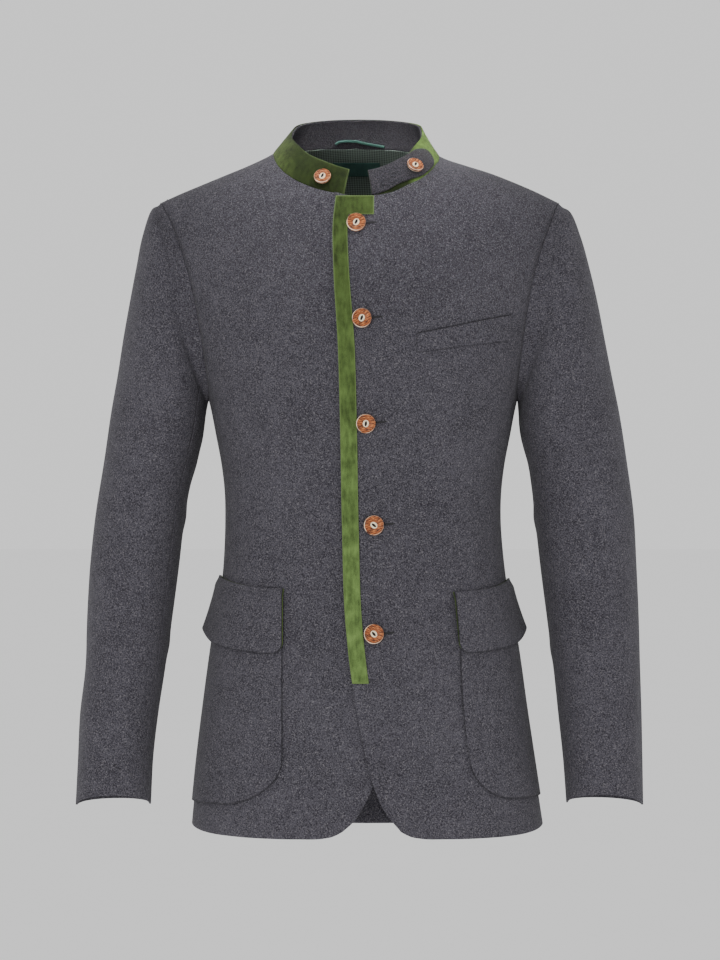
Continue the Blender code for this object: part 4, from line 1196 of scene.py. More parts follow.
@dataclass
class Collar:
    """The stand collar in suede, its loden inner face, the tab, and the hanger loop inside."""

    torso: Torso
    top_x: float = -2.6
    neck_ends: Pair = (8.7, 349.4)
    top_ends: Pair = (7.7, 352.6)
    lift: float = 0.6
    bow: float = 1.5
    hollow: float = 1.4
    hollow_at: float = 0.24
    hollow_reach: float = 0.09
    suede: float = 1.2
    light_loden: float = 1.7
    snug: float = 0.5
    tab_off: float = 0.7
    turned_down: float = 0.06
    wave: float = 0.35
    edge_shade: float = 0.5
    edge_reach: float = 0.7
    middle: float = 0.5
    loop_along_per_mm: float = 0.0018
    loop_off: float = 0.4
    loop_radius: float = 1.5

    def surface(self, along: Array, up: Array) -> Array:
        """Straight from the neck seam to the upper edge, bowed by 4 b u (1 - u).

        b is the bow less a bell of the hollow along the collar, for the left side leans in.

        Args:
            along: 0 at the left front end, 0.5 at the centre back, 1 at the right front end.
            up: u, 0 at the seam and 1 at the upper edge.

        Returns:
            Points in millimetres.
        """
        low = np.radians(self.neck_ends[0] + along * np.ptp(self.neck_ends))
        high = self.top_ends[0] + along * np.ptp(self.top_ends)
        on_left = high < 180
        mirrored = np.where(on_left, high, 360 - high)
        y, right_out, right_z, left_out, left_z = (
            COLLAR_TOP.read(name, mirrored) for name in list(COLLAR_TOP.columns)[1:]
        )
        x = np.where(on_left, left_out, -right_out) + self.top_x
        top = np.stack([x, y, np.where(on_left, left_z, right_z)], axis=-1)
        base = self.torso.neckline(low) + (0, 0, self.lift)
        share = np.asarray(up)[..., None]
        away = unit(np.stack([np.sin(low), -np.cos(low), 0.4 + 0 * low], axis=-1))
        hollow = self.hollow * bell(along - self.hollow_at, self.hollow_reach)
        bow = (self.bow - hollow)[..., None] * 4 * share * (1 - share)
        return base + (top - base) * share + away * bow

    def on(self, along: Array | float, up: Array | float, lift: Array | float = 0.0) -> Array:
        """Collar points moved out along the normal, itself from central differences.

        Args:
            along: as for the surface.
            up: as for the surface.
            lift: millimetres out.

        Returns:
            Points in millimetres.
        """
        along, up = np.broadcast_arrays(np.asarray(along, float), np.asarray(up, float))
        step = 0.004
        across = self.surface(along + step, up) - self.surface(along - step, up)
        rise = self.surface(along, up + step) - self.surface(along, up - step)
        lift = np.broadcast_to(lift, along.shape)[..., None]
        return self.surface(along, up) + unit(np.cross(across, rise)) * lift

    def outside(self) -> Sheet:
        """The suede, a little uneven: wave sin(31 along) sin(3 up).

        Shade is 0.35 and more at the front edges: e exp(-d / reach), d the distance to one.

        Returns:
            Its sheet.
        """
        along, up = spread(0, 1, 260)[None, :], spread(0, 1, 26)[:, None]
        grid = self.on(along, up, self.wave * np.sin(31 * along) * np.sin(3 * up))
        behind = 30 * np.minimum(ease(along, 0.12, 0.30), ease(1 - along, 0.12, 0.30))
        edge = np.minimum((1 - up) * 42 + behind, np.minimum(along, 1 - along) * 420)
        shade = 0.35 + self.edge_shade * np.exp(-edge / self.edge_reach)
        return Sheet("suede_collar", grid, self.suede, shade=shade)

    def inside(self) -> Sheet:
        """The loden inner face, turned down a little over the neck seam.

        Returns:
            Its sheet.
        """
        along, up = spread(0, 1, 200)[None, :], spread(-self.turned_down, 1, 22)[:, None]
        grid = self.on(along, up, -self.suede - self.snug)
        return Sheet("loden_collar_inner", grid, self.light_loden)

    def tab(self) -> Sheet:
        """The tab that buttons the collar back on the left, with a rounded end.

        Returns:
            Its sheet.
        """
        along = TAB.stations[-1] * (1 - (1 - spread(0, 1, 80)) ** 1.6)
        low, high = TAB.read("low", along), TAB.read("high", along)
        share = spread(0, 1, 22)[:, None]
        grid = self.on(along[None, :], low + (high - low) * share, self.tab_off)
        return Sheet("loden_collar_tab", grid, self.light_loden, outward=True)

    def loop(self) -> Piece:
        """The braid loop, a tube along the inner face with an uneven radius.

        Returns:
            The tube.
        """
        across = spread(LOOP_LINE.stations[0], LOOP_LINE.stations[-1], 60)
        faces = self.suede + self.snug + self.light_loden + self.snug
        stand = faces + self.loop_radius + self.loop_off
        along = self.middle - self.loop_along_per_mm * across
        path = self.on(along, LOOP_LINE.read("up", across), -stand)
        twist = 1 + 0.06 * np.sin(spread(0, 60 * HALF_TURN, 60))
        return tube("braid_loop", path, self.loop_radius * twist, 12)


# ---- pockets and welt


@dataclass
class PatchPocket:
    """A patch pocket with its flap and the flap's suede facing, round one side of the body."""

    torso: Torso
    side: Side
    front_x: float
    low_in: float
    bottom: float
    corner: float
    flap_x: float
    flap_low_x: float
    flap_top: float
    flap_bottom: float
    loden: float = 1.7
    facing: float = 0.8
    seat: float = 0.8
    snug: float = 0.5
    pocket_end: float = 96.0
    pocket_run: float = 155.0
    flap_end: float = 93.0
    flap_run: float = 150.0
    flap_rise: float = 12.0
    flap_rear_rise: float = 11.0
    flap_corner: float = 11.0
    flap_flare: float = 8.0
    seam_band: float = 11.0
    facing_edge: float = 0.6
    facing_short: float = 1.2
    facing_off: float = 0.6
    under_flap: float = 12.0
    fullness: float = 0.9
    # How dark and how wide the painted shade along the front and lower edges is.
    painted_shade: float = 0.6
    painted_shade_width: float = 0.8

    def round_corner(self, run: Array, radius: float) -> Array:
        """How far a lower edge rises at a distance from a corner: r (1 - sqrt(1 - a^2))."""
        away = 1 - np.clip(run / radius, 0, 1)
        return radius * (1 - np.sqrt(1 - away**2))

    def turns(self, front_x: Array, end: float, height: Array, share: Array) -> Array:
        """Angles from the upright front edge round to past the side seam."""
        first = np.abs(self.torso.front_angle(front_x, height))
        return first + (math.radians(end) - first) * share

    def place(self, name: str, turn: Array, height: Array, lift: Array, thick: float) -> Sheet:
        """Cloth over a stretch of the body's side, with painted shade along its front and lower
        edges.

        Shade is a bell of the distance to the nearer of those edges; the suede facing turns the
        same values into its pale cut edge.

        Args:
            name: the piece's name without its side.
            turn: angles round the body.
            height: z in millimetres.
            lift: millimetres off the body.
            thick: the cloth's thickness.

        Returns:
            Its sheet.
        """
        grid = self.torso.skin(turn * self.side.value, height, lift)
        across = np.linalg.norm(grid - grid[:, :1], axis=-1)
        up = np.linalg.norm(grid - grid[:1], axis=-1)
        shade = self.painted_shade * bell(np.minimum(across, up), self.painted_shade_width)
        grid, shade = grid[:, :: self.side.value], shade[:, :: self.side.value]
        name = f"{name}_{self.side.word}"
        return Sheet(name, grid, thick, outward=True, bulge=0.2, shade=shade)

    def pouch(self) -> Sheet:
        """The patch itself, a little full in its middle.

        Returns:
            Its sheet.
        """
        down = spread(1, 0, 90)[:, None]
        share = spread(0, 1, 90) ** 1.35
        bottom = self.bottom + self.round_corner(share * self.pocket_run, self.corner)
        top = self.flap_top - self.under_flap + self.flap_rise * ease(share, 0, 0.9)
        height = top + (bottom - top) * down
        front_x = self.front_x + self.low_in * down**3
        turn = self.turns(front_x + 0 * height, self.pocket_end, height, share)
        across = np.sin(HALF_TURN * np.clip(share * 1.3, 0, 1))
        full = self.fullness * across * np.sin(HALF_TURN * down)
        return self.place("loden_pocket", turn, height, self.seat + full, self.loden)

    def leaf(self, name: str, edge: float, short: float, stack: float, thick: float) -> Sheet:
        """The flap, or its facing, which reaches past its front edge but ends short below.

        Args:
            name: the piece's name without its side.
            edge: how far it reaches past the front edge.
            short: how far it ends above the lower edge.
            stack: how far it stands off what lies under it.
            thick: the cloth's thickness.

        Returns:
            Its sheet.
        """
        down = spread(1, 0, 50)[:, None]
        share = spread(0, 1, 90) ** 1.6
        bottom = self.flap_bottom + short
        bottom = bottom + self.round_corner(share * self.flap_run, self.flap_corner)
        bottom = bottom + self.flap_rear_rise * ease(share, 0.6, 1.0)
        height = self.flap_top + (bottom - self.flap_top) * down
        drop = self.flap_top - height
        height = height + self.flap_rise * ease(share, 0, 0.9)
        front_x = self.flap_x + (self.flap_low_x - self.flap_x) * down - self.side.value * edge
        turn = self.turns(front_x + 0 * height, self.flap_end, height, share)
        over_pocket = self.loden + self.snug + self.facing_off
        clear = self.seat + over_pocket * ease(drop, 0, self.seam_band)
        flare = self.flap_flare * ease(turn, math.radians(66), QUARTER_TURN) * down**1.5
        return self.place(name, turn, height, clear + flare + stack, thick)

    def flap(self) -> Sheet:
        """The loden flap."""
        return self.leaf("loden_flap", 0.0, 0.0, self.facing + self.snug, self.loden)

    def flap_facing(self) -> Sheet:
        """The green suede under the flap, of which a thin line shows at its front edge."""
        edge, short = self.facing_edge, self.facing_short
        return self.leaf("suede_flap_facing", edge, short, 0.0, self.facing)


@dataclass
class Welt:
    """The slanting breast welt on the left front."""

    torso: Torso
    x: Pair = (60.2, 161.0)
    top: Pair = (-199.0, -177.5)
    bottom: Pair = (-219.5, -206.0)
    loden: float = 1.36
    seat: float = 0.3
    # Painted shade in the welt's mouth and along its lower edge: strengths and widths.
    mouth: float = 0.85
    mouth_width: float = 1.0
    painted_shade: float = 0.4
    painted_shade_width: float = 0.8

    def strip(self) -> Sheet:
        """The welt, straight between its ends, with painted shade at its lower edge and its mouth.

        Returns:
            Its sheet.
        """
        share = spread(0, 1, 70)
        x, top, bottom = (np.interp(share, (0, 1), e) for e in (self.x, self.top, self.bottom))
        height = bottom + (top - bottom) * spread(0, 1, 34)[:, None]
        angle = self.torso.front_angle(x + 0 * height, height)
        grid = self.torso.skin(angle, height, self.seat)
        # Painted shade: dark in the mouth and along the lower edge.
        shade = self.mouth * bell(top - height, self.mouth_width)
        shade += self.painted_shade * bell(height - bottom, self.painted_shade_width)
        return Sheet("loden_welt", grid, self.loden, outward=True, bulge=0.2, shade=shade)


# ---- buttons

HORN_PROFILE = Table(
    "step radius height",
    (0, 0.00, 0.68), (1, 0.12, 0.68), (2, 0.26, 0.69), (3, 0.40, 0.72), (4, 0.54, 0.77),
    (5, 0.66, 0.82), (6, 0.74, 0.84), (7, 0.79, 0.83), (8, 0.83, 0.87), (9, 0.87, 0.95),
    (10, 0.91, 0.98), (11, 0.95, 0.93), (12, 0.985, 0.78), (13, 1.00, 0.58), (14, 0.98, 0.34),
    (15, 0.93, 0.12), (16, 0.84, 0.01), (17, 0.60, 0.00), (18, 0.28, 0.00),
)
EYE_PROFILE = Table(
    "step radius height",
    (0, 0.00, 0.16), (1, 0.18, 0.17), (2, 0.30, 0.30), (3, 0.42, 0.72), (4, 0.55, 0.98),
    (5, 0.70, 1.06), (6, 0.84, 0.92), (7, 0.94, 0.58), (8, 1.00, 0.12), (9, 0.92, -0.10),
    (10, 0.00, -0.10),
)
# x, z and radius in mm, then degrees: how the horn's grain runs and how the eye's slot leans
FRONT_BUTTONS = (
    ("button_1", -4.9, -82.0, 10.4, 12, -24),
    ("button_2", 0.7, -183.3, 10.5, 34, -20),
    ("button_3", 5.1, -295.2, 10.5, -8, -6),
    ("button_4", 13.6, -404.8, 10.8, 20, 52),
    ("button_5", 13.6, -521.8, 10.8, -20, 40),
)
# along and up the collar, how far off it the cloth beneath lies, radius, then the same two angles
COLLAR_BUTTONS = (
    ("collar_button_left", 0.1065, 0.43, 2.2, 9.3, 40, -30),
    ("collar_button_right", 0.950, 0.38, 0.0, 9.3, -14, -18),
)


@dataclass
class HornButton:
    """A turned horn button on a shank of thread, sewn through with an oval eye of thread."""

    name: str
    radius: float
    seat: Seat
    grain: float
    lean: float
    thick: float = 4.0
    stand: float = 2.2
    snug: float = 0.5
    shank: float = 0.28
    rim: tuple[float, float, float, float] = (0.89, 0.94, 0.975, 1.0)
    # How much weaker the rim's painted highlight is on one side.
    rim_wear: float = 0.28
    eye_height: float = 2.72
    eye: Pair = (3.3, 4.0)
    slot: Pair = (0.42, 0.74)

    def face(self) -> Piece:
        """The horn, with a dished middle, a groove and a pale rim: shade 1 on the rim, which is
        partly painted highlight.

        Returns:
            The button.
        """
        steps = spread(0, HORN_PROFILE.stations[-1], 55)
        radius = HORN_PROFILE.read("radius", steps) * self.radius
        height = HORN_PROFILE.read("height", steps) * self.thick + self.stand
        shank = [(self.shank * self.radius, self.snug), (0.0, self.snug)]
        profile = np.concatenate([np.stack([radius, height], axis=-1), shank])

        def rim(out: Array, turn: Array) -> Array:
            """Shade of the face: 1 on the rim, and more on one side as painted highlight.

            Args:
                out: distance from the middle.
                turn: angle round it.

            Returns:
                The shade.
            """
            # Painted highlight on the rim, brightest towards the lower left of the button.
            wear_and_highlight = 1 - self.rim_wear + self.rim_wear * np.cos(turn - HALF_TURN * 1.15)
            share = out / self.radius
            return ease(share, *self.rim[:2]) * (1 - ease(share, *self.rim[2:])) * wear_and_highlight

        grain = math.radians(self.grain)
        return turned(f"horn_{self.name}", self.seat, profile, grain=grain, shade=rim)

    def thread(self) -> Piece:
        """The eye of pale thread, with painted shade in its slot: shade 1 in the middle.

        Returns:
            The eye.
        """
        steps = spread(0, EYE_PROFILE.stations[-1], 31)
        height = EYE_PROFILE.read("height", steps) + self.stand + self.eye_height
        profile = np.stack([EYE_PROFILE.read("radius", steps), height], axis=-1)

        def slot(out: Array, turn: Array) -> Array:
            """Shade of the eye: 1 within an oval, the slot's painted shade.

            Args:
                out: distance as a share of the radius.
                turn: angle round it.

            Returns:
                The shade.
            """
            wide, tall = self.slot
            away = np.hypot(out * np.cos(turn) / wide, out * np.sin(turn) / tall)
            return 1 - ease(away, 0.9, 1.1)

        lean, name = math.radians(self.lean), f"thread_{self.name}"
        return turned(name, self.seat, profile, oval=self.eye, lean=lean, shade=slot)


@dataclass
class Buttonhole:
    """A worked buttonhole beside a button: a loop of dark stitches round a slit."""

    name: str
    torso: Torso
    fronts: Fronts
    button: Pair
    start: Pair = (7.0, 0.4)
    end: Pair = (21.5, 1.6)
    lip: float = 0.62
    half_width: float = 0.55
    sunk: float = 0.15
    knots: float = 0.12
    stitch_count: int = 96

    def stitches(self) -> Piece:
        """The loop of stitches on the lap: x = m + l cos t, z = n + h sin t, radius knotted.

        m, n and l come from the slit's start and end, which are given from the button's middle.

        Returns:
            The tube.
        """
        turn = full_turn(self.stitch_count)
        start, end = np.add(self.button, self.start), np.add(self.button, self.end)
        middle, reach = (start + end) / 2, (end - start) / 2
        x = middle[0] + reach[0] * np.cos(turn)
        height = middle[1] + reach[1] * np.cos(turn) + self.half_width * np.sin(turn)
        lift = self.fronts.rise(x) + self.lip - self.sunk
        path = self.torso.skin(self.torso.front_angle(x, height), height, lift)
        knotted = self.lip * (1 + self.knots * np.sin(20 * turn))
        return tube(self.name, path, knotted, 8, closed=True)


# ---- finishes

Colour = tuple[float, float, float]


def from_srgb(colour: Colour) -> tuple[float, float, float, float]:
    """A screen colour of 0 to 255 made linear for a shader: ((c + 0.055) / 1.055)^2.4.

    Args:
        colour: three channels.

    Returns:
        Red, green, blue and 1.
    """
    share = np.array(colour) / 255
    linear = np.where(share <= 0.04045, share / 12.92, ((share + 0.055) / 1.055) ** 2.4)
    return (*linear.tolist(), 1.0)


class Recipe:
    """One material, made by adding nodes and joining their sockets."""

    def __init__(
        self, name: str, roughness: float, sheen: float = 0.0, specular: float = 0.3
    ) -> None:
        """Start a Principled material with what is the same all over it.

        Args:
            name: the material's name.
            roughness: how matt it is.
            sheen: how much fuzz it has.
            specular: how strongly it mirrors.
        """
        self.material = bpy.data.materials.new(name)
        self.material.use_nodes = True
        self.tree = self.material.node_tree
        self.shader = self.tree.nodes["Principled BSDF"]
        for socket, value in (
            ("Roughness", roughness), ("Sheen Weight", sheen), ("Sheen Roughness", 0.6),
            ("Specular IOR Level", specular),
        ):
            self.shader.inputs[socket].default_value = value

    def node(self, kind: str, inputs: dict | None = None, **settings: object) -> bpy.types.Node:
        """Add a node.

        Args:
            kind: its type.
            inputs: socket name or number, with a value or another node's output.
            settings: the node's own properties.

        Returns:
            The node.
        """
        made = self.tree.nodes.new(kind)
        for key, value in settings.items():
            setattr(made, key, value)
        for key, value in (inputs or {}).items():
            if isinstance(value, Socket):
                self.tree.links.new(value, made.inputs[key])
            else:
                made.inputs[key].default_value = value
        return made

    def place(self) -> Socket:
        """Where a point is on the object, in metres."""
        return self.node("ShaderNodeTexCoord").outputs["Object"]

    def cloth_map(self) -> Socket:
        """Where a point is on the flat cloth, in metres."""
        return self.node("ShaderNodeUVMap", uv_map="cloth").outputs["UV"]

    def shade(self) -> Socket:
        """The piece's own attribute "shade"."""
        return self.node("ShaderNodeAttribute", attribute_name="shade").outputs["Fac"]

    def noise(
        self, where: Socket, scale: float, detail: float = 2.0, stretch: Place | None = None
    ) -> Socket:
        """Noise with so many features a metre, stretched along the axes if asked.

        Args:
            where: places in metres.
            scale: features a metre.
            detail: finer layers.
            stretch: factors along x, y and z.

        Returns:
            Values round 0.5.
        """
        if stretch is not None:
            where = self.node("ShaderNodeMapping", {"Vector": where, "Scale": stretch}).outputs[0]
        wanted = {"Vector": where, "Scale": scale, "Detail": detail}
        return self.node("ShaderNodeTexNoise", wanted).outputs["Fac"]

    def maths(
        self, operation: str, first: object, second: object = 0.0, third: object = 0.0
    ) -> Socket:
        """One step of arithmetic."""
        wanted = {0: first, 1: second, 2: third}
        return self.node("ShaderNodeMath", wanted, operation=operation).outputs[0]

    def total(self, *parts: tuple[object, float]) -> Socket:
        """The parts added up, each times its share.

        Args:
            parts: a value and its share each.

        Returns:
            The sum.
        """
        value, share = parts[0]
        added = self.maths("MULTIPLY", value, share)
        for value, share in parts[1:]:
            added = self.maths("MULTIPLY_ADD", value, share, added)
        return added

    def level(self, value: object, low: float, high: float) -> Socket:
        """0 at low and 1 at high, held there past them."""
        wanted = {"Value": value, "From Min": low, "From Max": high}
        return self.node("ShaderNodeMapRange", wanted).outputs["Result"]

    def mix(self, share: object, first: object, second: object) -> Socket:
        """From the first colour to the second; a colour may be given as on a screen.

        Args:
            share: 0 for the first colour, 1 for the second.
            first: a colour.
            second: a colour.

        Returns:
            The mixed colour.
        """
        pair = [from_srgb(c) if isinstance(c, tuple) else c for c in (first, second)]
        wanted = {0: share, 6: pair[0], 7: pair[1]}
        return self.node("ShaderNodeMix", wanted, data_type="RGBA").outputs[2]

    def tint(self, colour: Socket, share: float) -> Socket:
        """A colour times one number.

        Args:
            colour: the colour.
            share: the number.

        Returns:
            The product.
        """
        grey = (share, share, share, 1.0)
        wanted = {0: 1.0, 6: colour, 7: grey}
        made = self.node("ShaderNodeMix", wanted, data_type="RGBA", blend_type="MULTIPLY")
        return made.outputs[2]

    def finish(self, colour: Socket, height: Socket | None = None, depth: float = 0.3) -> Material:
        """Wire the colour, and a bump of so many millimetres, and hand over the material.

        Args:
            colour: the base colour.
            height: 0 to 1, or none for no bump.
            depth: millimetres.

        Returns:
            The material.
        """
        self.tree.links.new(colour, self.shader.inputs["Base Color"])
        if height is not None:
            wanted = {"Height": height, "Distance": depth * MM, "Strength": 1.0}
            bump = self.node("ShaderNodeBump", wanted)
            self.tree.links.new(bump.outputs["Normal"], self.shader.inputs["Normal"])
        return self.material


@dataclass(frozen=True)
class Loden:
    """Felted wool, a melange of dark and pale fibres, with clouds; shade 1 is painted shade."""

    name: str
    dark: Colour
    light: Colour
    warm: Colour
    # The colour of painted shade: dark lines at the pocket, flap and welt edges.
    painted_shade: Colour = (20, 19, 22)
    flecks: float = 700.0
    fibres: float = 1250.0
    clouds: float = 90.0
    slow: float = 14.0
    shares: tuple[float, float, float, float] = (0.10, 0.52, 0.30, 0.08)
    contrast: Pair = (0.42, 0.58)
    warm_fibres: Pair = (0.56, 0.70)
    warmth: float = 0.7

    def build(self) -> Material:
        """Flecks, finer fibres and clouds added up, and a second noise for warmer fibres.

        Returns:
            The material.
        """
        recipe = Recipe(self.name, roughness=0.95, sheen=0.05, specular=0.12)
        where = recipe.place()
        flecks = recipe.noise(where, self.flecks, 2.0)
        fibres = recipe.noise(where, self.fibres, 1.0)
        clouds = recipe.noise(where, self.clouds, 3.0)
        slow = recipe.noise(where, self.slow, 2.0)
        total = recipe.total(*zip((clouds, flecks, fibres, slow), self.shares))
        colour = recipe.mix(recipe.level(total, *self.contrast), self.dark, self.light)
        warmth = recipe.level(recipe.noise(where, self.flecks * 1.1, 1.0), *self.warm_fibres)
        colour = recipe.mix(recipe.maths("MULTIPLY", warmth, self.warmth), colour, self.warm)
        # Where "shade" is 1, the colour goes over to the painted shade.
        colour = recipe.mix(recipe.shade(), colour, self.painted_shade)
        height = recipe.maths("MULTIPLY_ADD", fibres, 0.6, flecks)
        return recipe.finish(colour, height, depth=0.5)


@dataclass(frozen=True)
class Suede:
    """Split leather: soft clouds of nap brushed light and dark, paler at a cut edge.

    It goes from near to far along one axis, as the nap lies and the light falls, with both
    colours' places in metres. Where a third colour is given, it is reached between the places
    in behind.
    """

    name: str
    near: Colour
    far: Colour
    edge: Colour
    axis: Place
    reach: Pair
    third: Colour | None = None
    behind: Pair = (0.0, 0.0)
    clouds: float = 60.0
    nap: float = 1400.0
    shares: tuple[float, float, float] = (0.20, 0.45, 0.35)
    contrast: Pair = (0.37, 0.63)
    tints: Pair = (0.50, 1.50)
    cut_edge: Pair = (0.35, 0.9)

    def build(self) -> Material:
        """Clouds and streaks of nap, fine grain over them, and the edge by "shade".

        Returns:
            The material.
        """
        recipe = Recipe(self.name, roughness=0.9, sheen=0.05, specular=0.1)
        where = recipe.place()
        wanted = {0: where, 1: self.axis}
        product = recipe.node("ShaderNodeVectorMath", wanted, operation="DOT_PRODUCT")
        along = product.outputs["Value"]
        colour = recipe.mix(recipe.level(along, *self.reach), self.near, self.far)
        if self.third is not None:
            colour = recipe.mix(recipe.level(along, *self.behind), colour, self.third)
        clouds = recipe.noise(where, self.clouds, 2.0)
        streaks = recipe.noise(where, self.clouds * 3, 2.0, stretch=(1.6, 1.0, 0.45))
        nap = recipe.noise(where, self.nap, 1.0)
        total = recipe.total(*zip((nap, clouds, streaks), self.shares))
        dark, light = (recipe.tint(colour, tint) for tint in self.tints)
        colour = recipe.mix(recipe.level(total, *self.contrast), dark, light)
        colour = recipe.mix(recipe.level(recipe.shade(), *self.cut_edge), colour, self.edge)
        return recipe.finish(colour, nap, depth=0.25)


@dataclass(frozen=True)
class Check:
    """A small two-tone check, woven: stripes each way that add up."""

    name: str
    dark: Colour
    light: Colour
    pitch_mm: float = 2.75
    thread_mm: float = 0.4

    def build(self) -> Material:
        """Each way a stripe is sin(2 pi u / pitch) turned into a soft step; both are added.

        Returns:
            The material.
        """
        recipe = Recipe(self.name, roughness=0.7, sheen=0.0, specular=0.3)
        parts = recipe.node("ShaderNodeSeparateXYZ", {"Vector": recipe.cloth_map()})
        stripes, threads = [], []
        for axis in (0, 1):
            for pitch, kept in ((self.pitch_mm, stripes), (self.thread_mm, threads)):
                turn = recipe.maths("MULTIPLY", parts.outputs[axis], TURN / (pitch * MM))
                kept.append(recipe.level(recipe.maths("SINE", turn), -0.35, 0.35))
        both = recipe.maths("ADD", *stripes)
        weave = recipe.maths("MULTIPLY", *threads)
        share = recipe.total((both, 0.44), (weave, 0.12))
        return recipe.finish(recipe.mix(share, self.dark, self.light), weave, depth=0.1)


@dataclass(frozen=True)
class Woven:
    """Plain narrow goods, such as the label and the braid: ribs along the cloth's own map."""

    name: str
    dark: Colour
    light: Colour
    pitch_mm: float = 0.8
    slant: float = 0.0

    def build(self) -> Material:
        """Ribs of sin(2 pi (u + slant v) / pitch), and slow clouds.

        Returns:
            The material.
        """
        recipe = Recipe(self.name, roughness=0.7, sheen=0.1, specular=0.3)
        parts = recipe.node("ShaderNodeSeparateXYZ", {"Vector": recipe.cloth_map()})
        way = recipe.maths("MULTIPLY_ADD", parts.outputs[1], self.slant, parts.outputs[0])
        rib = recipe.maths("SINE", recipe.maths("MULTIPLY", way, TURN / (self.pitch_mm * MM)))
        clouds = recipe.noise(recipe.place(), 160.0, 3.0)
        share = recipe.maths("MULTIPLY_ADD", recipe.level(rib, -1, 1), 0.5, clouds)
        colour = recipe.mix(recipe.level(share, 0.3, 1.2), self.dark, self.light)
        return recipe.finish(colour, rib, depth=0.15)


@dataclass(frozen=True)
class Horn:
    """Polished horn: long streaks, darker cracks between them and a pale rim.

    The rim is the horn's pale bevel, patchy with wear, and partly painted highlight.
    """

    name: str
    dark: Colour
    middle: Colour
    light: Colour
    rim: Colour
    broad: Pair = (70.0, 420.0)
    fine: Pair = (190.0, 1100.0)
    pits: Pair = (420.0, 900.0)

    def build(self) -> Material:
        """Three noises with so many features a metre along and across the grain, and the rim.

        Returns:
            The material.
        """
        recipe = Recipe(self.name, roughness=0.45, specular=0.22)
        grain = recipe.cloth_map()
        broad, fine, pits = (
            recipe.noise(grain, 1.0, 2.0, stretch=(*scale, 1.0))
            for scale in (self.broad, self.fine, self.pits)
        )
        colour = recipe.mix(recipe.level(broad, 0.40, 0.60), self.dark, self.middle)
        streak = recipe.maths("MULTIPLY", recipe.level(fine, 0.50, 0.64), 0.75)
        colour = recipe.mix(streak, colour, self.light)
        cracks = recipe.maths("MULTIPLY", recipe.level(pits, 0.40, 0.30), 0.8)
        colour = recipe.mix(cracks, colour, tuple(0.6 * channel for channel in self.dark))
        # The pale rim, partly painted highlight, broken up by noise for wear.
        wear_and_highlight = recipe.noise(recipe.place(), 90.0, 1.0)
        on_rim = recipe.level(recipe.shade(), 0.35, 0.95)
        rim = recipe.maths("MULTIPLY", on_rim, recipe.level(wear_and_highlight, 0.30, 0.55))
        colour = recipe.mix(rim, colour, self.rim)
        return recipe.finish(colour, fine, depth=0.08)


@dataclass(frozen=True)
class Thread:
    """Sewing thread wound on in turns; shade 1 is painted shade in the slot between them."""

    name: str
    light: Colour
    # The colour of the painted shade in the slot.
    slot: Colour
    turns: float = 1400.0

    def build(self) -> Material:
        """Fine turns by noise, and painted shade in the slot by "shade".

        Returns:
            The material.
        """
        recipe = Recipe(self.name, roughness=0.75, sheen=0.1)
        turns = recipe.noise(recipe.place(), self.turns, 1.0)
        pale = tuple(0.86 * channel for channel in self.light)
        colour = recipe.mix(recipe.level(turns, 0.4, 0.6), pale, self.light)
        return recipe.finish(recipe.mix(recipe.shade(), colour, self.slot), turns, depth=0.15)


class Finishes:
    """Every finish of the jacket, each made once."""

    def __init__(self) -> None:
        """Build the materials."""
        self.loden = Loden("loden_melange", (40, 38, 44), (78, 76, 83), (112, 109, 113)).build()
        self.inner_loden = Loden("loden_inside", (40, 39, 43), (62, 60, 65), (66, 61, 62)).build()
        # A darker copy of the loden for the collar tab, which faces up into the light: painted
        # shade.
        self.tab_loden = Loden("loden_tab", (24, 23, 27), (58, 56, 62), (80, 77, 79)).build()
        down, right = (0.0, 0.0, -1.0), (-1.0, 0.0, 0.0)
        top, low, side, lit = (54, 68, 31), (86, 108, 58), (62, 76, 34), (84, 108, 48)
        self.trim = Suede("suede_moss", top, low, (92, 112, 62), down, (0.04, 0.45)).build()
        self.collar = Suede(
            "suede_moss_dark", (30, 40, 12), side, (66, 80, 42), right, (0.070, 0.092),
            lit, (-0.050, -0.062),
        ).build()
        self.facing = Suede(
            "suede_moss_facing", (50, 62, 30), side, (76, 92, 50), right, (-0.05, 0.05)
        ).build()
        # Both tones of the check are painted lighter than the cloth: painted light inside the back.
        self.lining = Check("check_green", (74, 84, 77), (136, 150, 140)).build()
        self.label = Woven("label_teal", (34, 72, 65), (54, 98, 88), 0.7).build()
        self.braid = Woven("braid_teal", (44, 90, 78), (78, 122, 110), 1.6, slant=1.2).build()
        horn = Horn("horn_polished", (74, 34, 18), (150, 80, 40), (214, 136, 80), (246, 226, 200))
        self.horn = horn.build()
        # The cream thread's second colour is painted shade in the eye's slot.
        self.thread = Thread("thread_cream", (255, 238, 204), (22, 15, 14)).build()
        self.dark_thread = Thread("thread_charcoal", (30, 29, 32), (16, 16, 18)).build()
        self.floor = self.plain("floor_pale", (250, 250, 250))

    def plain(self, name: str, colour: Colour) -> Material:
        """A matt finish for the floor, with a faint unevenness.

        Args:
            name: the material's name.
            colour: its colour.

        Returns:
            The material.
        """
        recipe = Recipe(name, roughness=0.9)
        clouds = recipe.noise(recipe.place(), 3.0, 2.0)
        darker = tuple(channel - 2 for channel in colour)
        return recipe.finish(recipe.mix(clouds, darker, colour))


# ---- putting it together


